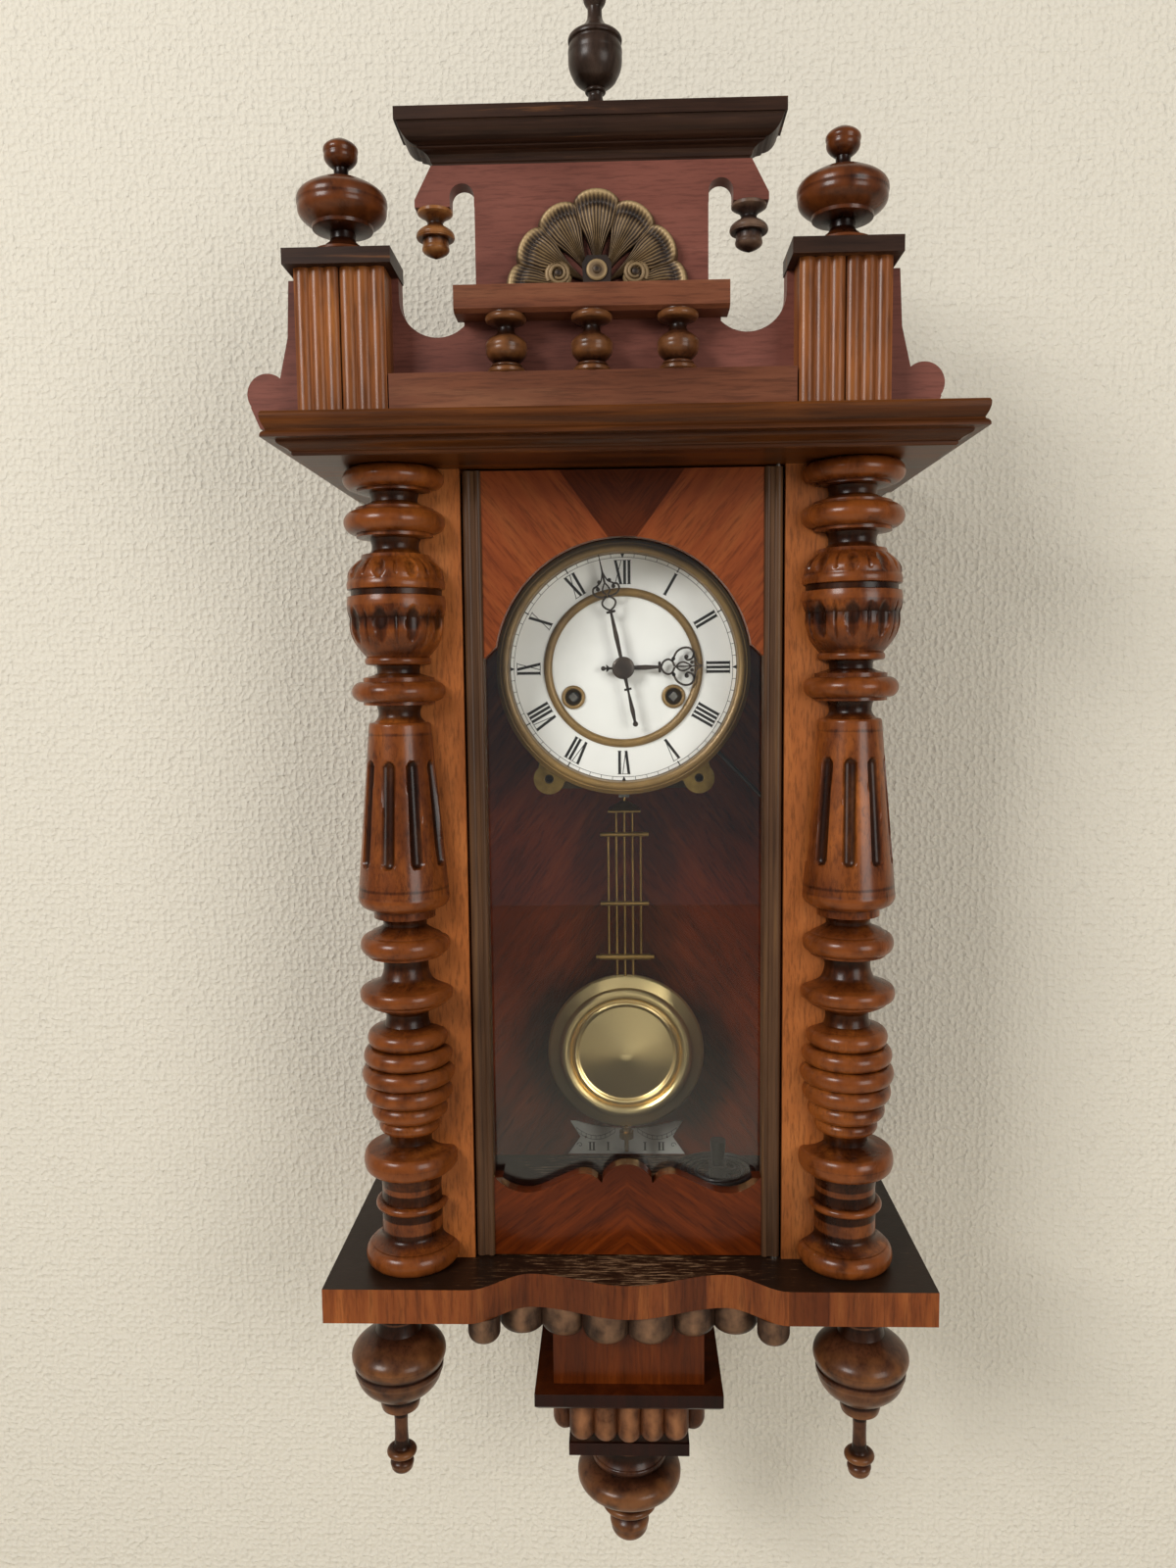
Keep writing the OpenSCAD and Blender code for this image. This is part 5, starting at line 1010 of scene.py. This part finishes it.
def hoop(rows, at, segments):
    """A closed (radius, height) outline spun about an axis that points forwards, for flat rings."""
    points, faces = [], []
    n = len(rows)
    for i in range(segments):
        a = math.tau * i / segments
        points += [(at[0] + r * math.cos(a), at[1] - h, at[2] + r * math.sin(a)) for r, h in rows]
    for i in range(segments):
        k = (i + 1) % segments
        faces += [(i * n + j, i * n + (j + 1) % n, k * n + (j + 1) % n, k * n + j) for j in range(n)]
    return tidy(mesh_of(points, faces), 0.0001)


# Room that a letter takes, the height of a serif and the width of a thin stroke, in millimetres
WIDTHS = {"I": 2.75, "V": 5.4, "X": 5.4}
SERIF, THIN = 0.34, 0.45


def numeral(text, low, high, thick=1.75):
    """A Roman numeral between two heights, drawn with thick and thin strokes and hairline serifs."""
    shapes = []
    u = -sum(WIDTHS[c] for c in text) / 2
    for c in text:
        wide = WIDTHS[c]
        middle_u = u + wide / 2
        if c == "I":
            shapes.append(bar(middle_u, low, middle_u, high, thick))
        elif c == "V":
            shapes.append(bar(middle_u, low, u + 0.9, high, thick))
            shapes.append(bar(middle_u + 0.2, low, u + wide - 0.6, high, THIN))
        else:
            shapes.append(bar(u + wide - 1.0, low, u + 1.0, high, thick))
            shapes.append(bar(u + 0.7, low, u + wide - 0.7, high, THIN))
        for r in (low, high - SERIF):
            if c != "V" or r > low:
                shapes.append(bar(middle_u, r, middle_u, r + SERIF, wide - 0.2))
        u += wide
    return shapes


def on_dial(shapes, hour):
    """Strokes drawn upright at XII, turned to stand at an hour."""
    c, s = math.cos(math.radians(30 * hour)), math.sin(math.radians(30 * hour))
    return [[(DIAL.x + u * c + r * s, DIAL.z - u * s + r * c) for u, r in shape] for shape in shapes]


# Radii of the two lines of the minute track, and of the numerals' feet and heads
TRACK_IN, TRACK_OUT = 68.6, 70.9
FEET, HEADS = 52.0, 66.9
figures = []
for hour, text in enumerate(("XII", "I", "II", "III", "IIII", "V", "VI", "VII", "VIII", "IX", "X", "XI")):
    figures += on_dial(numeral(text, FEET, HEADS), hour)
    if hour % 3:
        figures += on_dial([bar(0, TRACK_IN - 0.7, 0, TRACK_OUT + 0.8, 0.7)], hour)
    else:
        figures += on_dial([[(-1.3, TRACK_OUT + 0.2), (0, TRACK_IN - 0.6), (1.3, TRACK_OUT + 0.2)]], hour)
parts = [prisms(figures, DIAL_FACE)]
for r in (TRACK_IN, TRACK_OUT):
    line = [(r - 0.14, -0.02), (r - 0.14, 0.12), (r + 0.14, 0.12), (r + 0.14, -0.02)]
    parts.append(hoop(line, (DIAL.x, DIAL_FACE, DIAL.z), 180))
track = (TRACK_IN + TRACK_OUT) / 2
parts.append(ring_of_bars(60, track, 0.3, TRACK_OUT - TRACK_IN, 0.24, fired_black, DIAL_FACE))
finish_piece(join_meshes(parts), "dial_figures", fired_black, "root")

# Brass eyelets round the two winding holes
for name in ("going_arbor", "strike_arbor"):
    spot = middle(name)
    rows = [(5.2, -0.8), (5.1, 0.2), (5.3, 0.75), (5.8, 1.0), (6.4, 1.05), (7.0, 0.85), (7.4, 0.4),
            (7.45, -0.02)]
    eyelet = hoop(rows, (spot.x, DIAL_FACE, spot.z), 64)
    finish_piece(eyelet, "eyelet_" + name, bezel_brass, "root", smooth=50)


def ribbon(points, width):
    """A strip along a smooth line through points; width may taper from a first value to a second."""
    start, end = width if isinstance(width, tuple) else (width, width)
    line = []
    for i in range(len(points) - 1):
        a, b = points[i], points[i + 1]
        before, after = points[max(i - 1, 0)], points[min(i + 2, len(points) - 1)]
        for k in range(6):
            t = k / 6
            line.append(tuple(0.5 * (2 * q + (r - p) * t + (2 * p - 5 * q + 4 * r - s) * t * t
                                     + (3 * q - p - 3 * r + s) * t ** 3)
                              for p, q, r, s in zip(before, a, b, after)))
    line.append(points[-1])
    edges = []
    for i, (u, r) in enumerate(line):
        p, q = line[max(i - 1, 0)], line[min(i + 1, len(line) - 1)]
        du, dr = q[0] - p[0], q[1] - p[1]
        size = math.hypot(du, dr) or 1.0
        half = (start + (end - start) * i / (len(line) - 1)) / 2
        su, sr = dr / size * half, du / size * half
        edges.append(((u - su, r + sr), (u + su, r - sr)))
    return [[edges[i][1], edges[i + 1][1], edges[i + 1][0], edges[i][0]] for i in range(len(edges) - 1)]


def round_spot(u, r, radius):
    """A round dot, as one outline in a list."""
    turns = [math.tau * i / 20 for i in range(20)]
    return [[(u + radius * math.cos(a), r + radius * math.sin(a)) for a in turns]]


def both_sides(shapes):
    """Shapes with their mirror images across the hand."""
    return shapes + [[(-u, r) for u, r in reversed(shape)] for shape in shapes]


def hand(name, shapes, body, minutes):
    """A sawn steel hand on its body, in the place of the plain one."""
    low, high = corners(name)
    made = prisms(on_dial(shapes, minutes / 5), high.y - 0.02, high.y - low.y - 0.02)
    finish_piece(made, "sawn_" + name, hand_steel, body, [name])


# Minute hand, pointing up: one half of its scrolls, then its shaft, collars, tip and tail
minute_side = (ribbon([(0, 36.3), (2.8, 38.2), (4.2, 40.8), (3.2, 43.2), (0.3, 45.2)], 1.19)
               + ribbon([(0.3, 45.2), (3.6, 45.2), (6.6, 46.4), (8.2, 48.9), (7.5, 51.4), (5.4, 52),
                         (4.3, 50.6)], 1.19) + round_spot(4.9, 50.4, 1.25)
               + ribbon([(6.9, 51.6), (4.6, 52.8), (2.2, 54.6), (0.9, 57.6), (0.2, 60)], (1.0, 0.8))
               + round_spot(3.2, 54.6, 1.2) + ribbon([(0.2, 46), (2.2, 48.4), (1.6, 51), (0.2, 53.2)], 0.94))
minute_shapes = (both_sides(minute_side) + ribbon([(0, 5), (0, 20)], (1.9, 3.0))
                 + ribbon([(0, 20), (0, 34.8)], (3.0, 1.5))
                 + [[(-2.1, 34.6), (2.1, 34.6), (2.1, 36.2), (-2.1, 36.2)]] + round_spot(2.1, 35.4, 0.8)
                 + round_spot(-2.1, 35.4, 0.8) + ribbon([(0, 53), (0, 58)], (1.2, 1.5))
                 + ribbon([(0, 58), (0, 71.2)], (1.5, 0.35)) + ribbon([(0, -5), (0, -16)], (2.6, 1.3))
                 + [[(-2.3, -14.2), (2.3, -14.2), (2.3, -12.8), (-2.3, -12.8)]]
                 + ribbon([(0, -16), (0, -27)], (1.3, 2.9)) + ribbon([(0, -27), (0, -35)], (2.9, 1.4))
                 + round_spot(0, -35.6, 1.7) + round_spot(0, 0, 6.4))
MINUTE, HOUR = 58, 2
hand("minute_hand", minute_shapes, "minute", MINUTE)

# Hour hand in the same way
hour_side = (ribbon([(0, 23.6), (3.2, 25.2), (4.6, 28), (3.4, 30.6), (0.3, 32)], 1.25)
             + ribbon([(3.4, 30.8), (5.6, 31.6), (9.2, 33.6), (11.4, 37.4), (11.2, 41.4), (8.4, 44),
                       (5.0, 43), (3.9, 40.2), (5.6, 38.6)], 1.31) + round_spot(5.9, 39.4, 1.35)
             + round_spot(4.9, 31.4, 1.2)
             + ribbon([(0.2, 33), (2.2, 35.2), (2.6, 38), (1.2, 41), (0.2, 42.4)], 1.06)
             + ribbon([(7.4, 44), (4.4, 45), (1.6, 46.4), (0.2, 49.2)], (1.1, 0.6))
             + round_spot(2.4, 42.8, 1.15))
hour_shapes = (both_sides(hour_side) + ribbon([(0, 5), (0, 14)], (2.4, 3.2))
               + ribbon([(0, 14), (0, 22)], (3.2, 1.8))
               + [[(-2.6, 21.8), (2.6, 21.8), (2.6, 23.6), (-2.6, 23.6)]] + round_spot(2.6, 22.7, 0.9)
               + round_spot(-2.6, 22.7, 0.9) + ribbon([(0, 32), (0, 49.2)], (1.2, 0.5))
               + ribbon([(0, -5), (0, -11)], (1.8, 1.2))
               + [[(-2.4, -10.6), (2.4, -10.6), (1.0, -8.8), (-1.0, -8.8)]] + round_spot(0, -12.4, 1.5)
               + round_spot(0, 0, 6.0))
hand("hour_hand", hour_shapes, "hour", 5 * (HOUR + MINUTE / 60))

# Boss that covers the pin of the hands
low, high = corners("minute_hand")
boss = turn(Profile(6.9, 0, 0.4).to(7.0, 0.5).curve(5.6, 1.15, 0.3).curve(0.1, 1.6, 0.5).rows, (0, 0, 0), 64)
boss.transform(Matrix.Translation((DIAL.x, low.y, DIAL.z)) @ FORWARDS)
finish_piece(boss, "hand_boss", hand_steel, "minute", smooth=50)

# Beat plate: two ladder scales, numbers and a leaf
low, high = corners("beat_plate")
mid_x = (low.x + high.x) / 2
LADDER_STEPS = 16
FIGURE_FOOT = high.z - 22.9
SCROLL_X, SCROLL_Z = 35.0, high.z - 18.6


def ladder(side, t, up):
    """A point of one scale: t runs from its outer to its inner end, up is the height over its lower line."""
    sag = 6.4 + 8.2 * math.sin(math.pi * min(1.0, t * 0.86 + 0.06)) ** 0.9
    return mid_x + side * (37.5 - 29 * t), high.z - sag + up


def scroll(side, r, a):
    """A point of the scroll at the end of the plate."""
    return mid_x + side * (SCROLL_X + r * math.cos(a)), SCROLL_Z + r * math.sin(a)


marks = []
for side in (-1, 1):
    for up in (0.0, 2.9):
        for i in range(LADDER_STEPS):
            a, b = ladder(side, i / LADDER_STEPS, up), ladder(side, (i + 1) / LADDER_STEPS, up)
            marks.append([a, b, (b[0], b[1] + 0.3), (a[0], a[1] + 0.3)])
    for i in range(0, LADDER_STEPS + 1, 2):
        a, b = ladder(side, i / LADDER_STEPS, 0.0), ladder(side, i / LADDER_STEPS, 3.1)
        marks.append([(a[0] - 0.14, a[1]), (a[0] + 0.14, a[1]), (b[0] + 0.14, b[1]), (b[0] - 0.14, b[1])])
    for text, x in (("I", 13.8), ("II", 26.0)):
        for shape in numeral(text, 0, 6.6, thick=1.2):
            marks.append([(mid_x + side * x + u, FIGURE_FOOT + r) for u, r in shape])
    for i in range(14):
        a0, a1 = i * 0.42, (i + 1) * 0.42
        r0, r1 = 2.4 - 0.12 * i, 2.4 - 0.12 * (i + 1)
        marks.append([scroll(side, r0, a0), scroll(side, r1, a1), scroll(side, r1 - 0.4, a1),
                      scroll(side, r0 - 0.4, a0)])
half_leaf = [(1.9, 2.9), (0.5, 4.1)]
marks.append([(mid_x, FIGURE_FOOT)] + [(mid_x + u, FIGURE_FOOT + r) for u, r in half_leaf]
             + [(mid_x, FIGURE_FOOT + 7.1)] + [(mid_x - u, FIGURE_FOOT + r) for u, r in reversed(half_leaf)])
finish_piece(prisms(marks, low.y, 0.08), "beat_plate_figures", fired_black, "root")

# Stage, light and camera


def wall_paper():
    """Painted woodchip wallpaper behind the clock, see-through from the back so that every side shows."""
    material, tree, shader, place = blank("pale_wall")
    chips = add(tree, "ShaderNodeTexVoronoi", {"Vector": place, "Scale": 1000 / EMBOSSED_CHIP,
                                               "Randomness": 0.6})
    weave = add(tree, "ShaderNodeTexNoise", {"Vector": place, "Scale": 1000 / EMBOSSED_GRAIN, "Detail": 1.0})
    lumps = add(tree, "ShaderNodeMath", {0: chips.outputs["Distance"], 1: weave.outputs["Fac"]},
                operation="MULTIPLY")
    raised = add(tree, "ShaderNodeBump", {"Height": lumps.outputs[0], "Strength": 0.8, "Distance": 0.003})
    shader.inputs["Base Color"].default_value = colour("#ded8ca")
    shader.inputs["Roughness"].default_value = 0.85
    tree.links.new(raised.outputs[0], shader.inputs["Normal"])
    side = add(tree, "ShaderNodeNewGeometry").outputs["Backfacing"]
    clear = add(tree, "ShaderNodeBsdfTransparent")
    mixed = add(tree, "ShaderNodeMixShader", {0: side, 1: shader.outputs[0], 2: clear.outputs[0]})
    lead_out(tree, mixed.outputs[0])
    return material


def sheet(name, quads, material):
    """A part of the stage, as quads in metres."""
    mesh = bpy.data.meshes.new(name)
    faces = [tuple(range(4 * i, 4 * i + 4)) for i in range(len(quads))]
    mesh.from_pydata([point for quad in quads for point in quad], [], faces)
    mesh.materials.append(material)
    piece = bpy.data.objects.new(name, mesh)
    bpy.context.scene.collection.objects.link(piece)


# Reach of the stage, its floor and its top, and the wall's gap behind the clock, in metres
STAGE, GROUND, STAGE_TOP, GAP = 4, -1.5, 2.5, 0.0008


def upright(x0, x1, z0, z1):
    """A quad of wall just behind the clock, in metres."""
    return [(x0, GAP, z0), (x1, GAP, z0), (x1, GAP, z1), (x0, GAP, z1)]


# The wall is left open behind the case and the base board, so that their backs are lit in a view from behind
base, case, top = corners("base_board"), corners("side_panels"), corners("cornice")
RIM = 3
low, shelf, high = (base[0].z + RIM) * MM, base[1].z * MM, (top[1].z - RIM) * MM
wide, narrow = (base[1].x - RIM) * MM, (case[1].x - RIM) * MM
sheet("wall", [upright(-STAGE, STAGE, GROUND, low), upright(-STAGE, -wide, low, shelf),
               upright(wide, STAGE, low, shelf), upright(-STAGE, -narrow, shelf, high),
               upright(narrow, STAGE, shelf, high), upright(-STAGE, STAGE, high, STAGE_TOP)], wall_paper())
# Matt painted floor, as pale as the wall
floor_finish, _, floor_shader, _ = blank("pale_floor")
floor_shader.inputs["Base Color"].default_value = colour("#dcd6c8")
floor_shader.inputs["Roughness"].default_value = 0.8
floor_corners = [(-STAGE, -6), (STAGE, -6), (STAGE, STAGE), (-STAGE, STAGE)]
sheet("floor", [[(x, y, GROUND) for x, y in floor_corners]], floor_finish)


def lamp(name, at, aim, size, power, tint="#ffffff"):
    """A soft box at a place in metres, aimed at another."""
    data = bpy.data.lights.new(name, "AREA")
    data.shape = "RECTANGLE"
    data.size, data.size_y = size
    data.energy = power
    data.color = colour(tint)[:3]
    made = bpy.data.objects.new(name, data)
    made.location = at
    made.rotation_mode = "QUATERNION"
    made.rotation_quaternion = (Vector(aim) - Vector(at)).to_track_quat("-Z", "Y")
    bpy.context.scene.collection.objects.link(made)


lamp("window_light", (-1.9, -2.3, 1.1), (0, -0.1, -0.1), (1.15, 1.0), 68, "#fffdfa")
lamp("room_light", (1.75, -2.45, 0.15), (0, -0.1, -0.2), (1.3, 1.5), 36, "#fffcf6")
lamp("back_light", (0.6, 2.4, 1.2), (0, 0, -0.1), (1.8, 1.8), 36)
world = bpy.data.worlds.new("room")
bpy.context.scene.world = world
world.use_nodes = True
sky = world.node_tree.nodes["Background"]
sky.inputs["Color"].default_value = colour("#f4f4f4")
sky.inputs["Strength"].default_value = 0.24

# The photograph's view: 25.9 mm lens on a 36 mm long side, looking down by 5.5 degrees
yaw, pitch, roll = -0.030512, 0.095609, -0.010614
ahead = Vector((math.sin(yaw) * math.cos(pitch), math.cos(yaw) * math.cos(pitch), -math.sin(pitch)))
across = Vector((math.cos(yaw), -math.sin(yaw), 0))
upward = across.cross(ahead)
right = across * math.cos(roll) + upward * math.sin(roll)
up = upward * math.cos(roll) - across * math.sin(roll)
camera = bpy.data.objects.new("camera", bpy.data.cameras.new("camera"))
camera.data.sensor_fit = "AUTO"
camera.data.sensor_width = 36.0
camera.data.lens = 25.94
eye = Vector((-0.0011, -0.8292, -0.158))
camera.matrix_world = Matrix((
    (right.x, up.x, -ahead.x, eye.x),
    (right.y, up.y, -ahead.y, eye.y),
    (right.z, up.z, -ahead.z, eye.z),
    (0, 0, 0, 1)))
bpy.context.scene.collection.objects.link(camera)
bpy.context.scene.camera = camera
bpy.context.scene.view_settings.view_transform = "Standard"
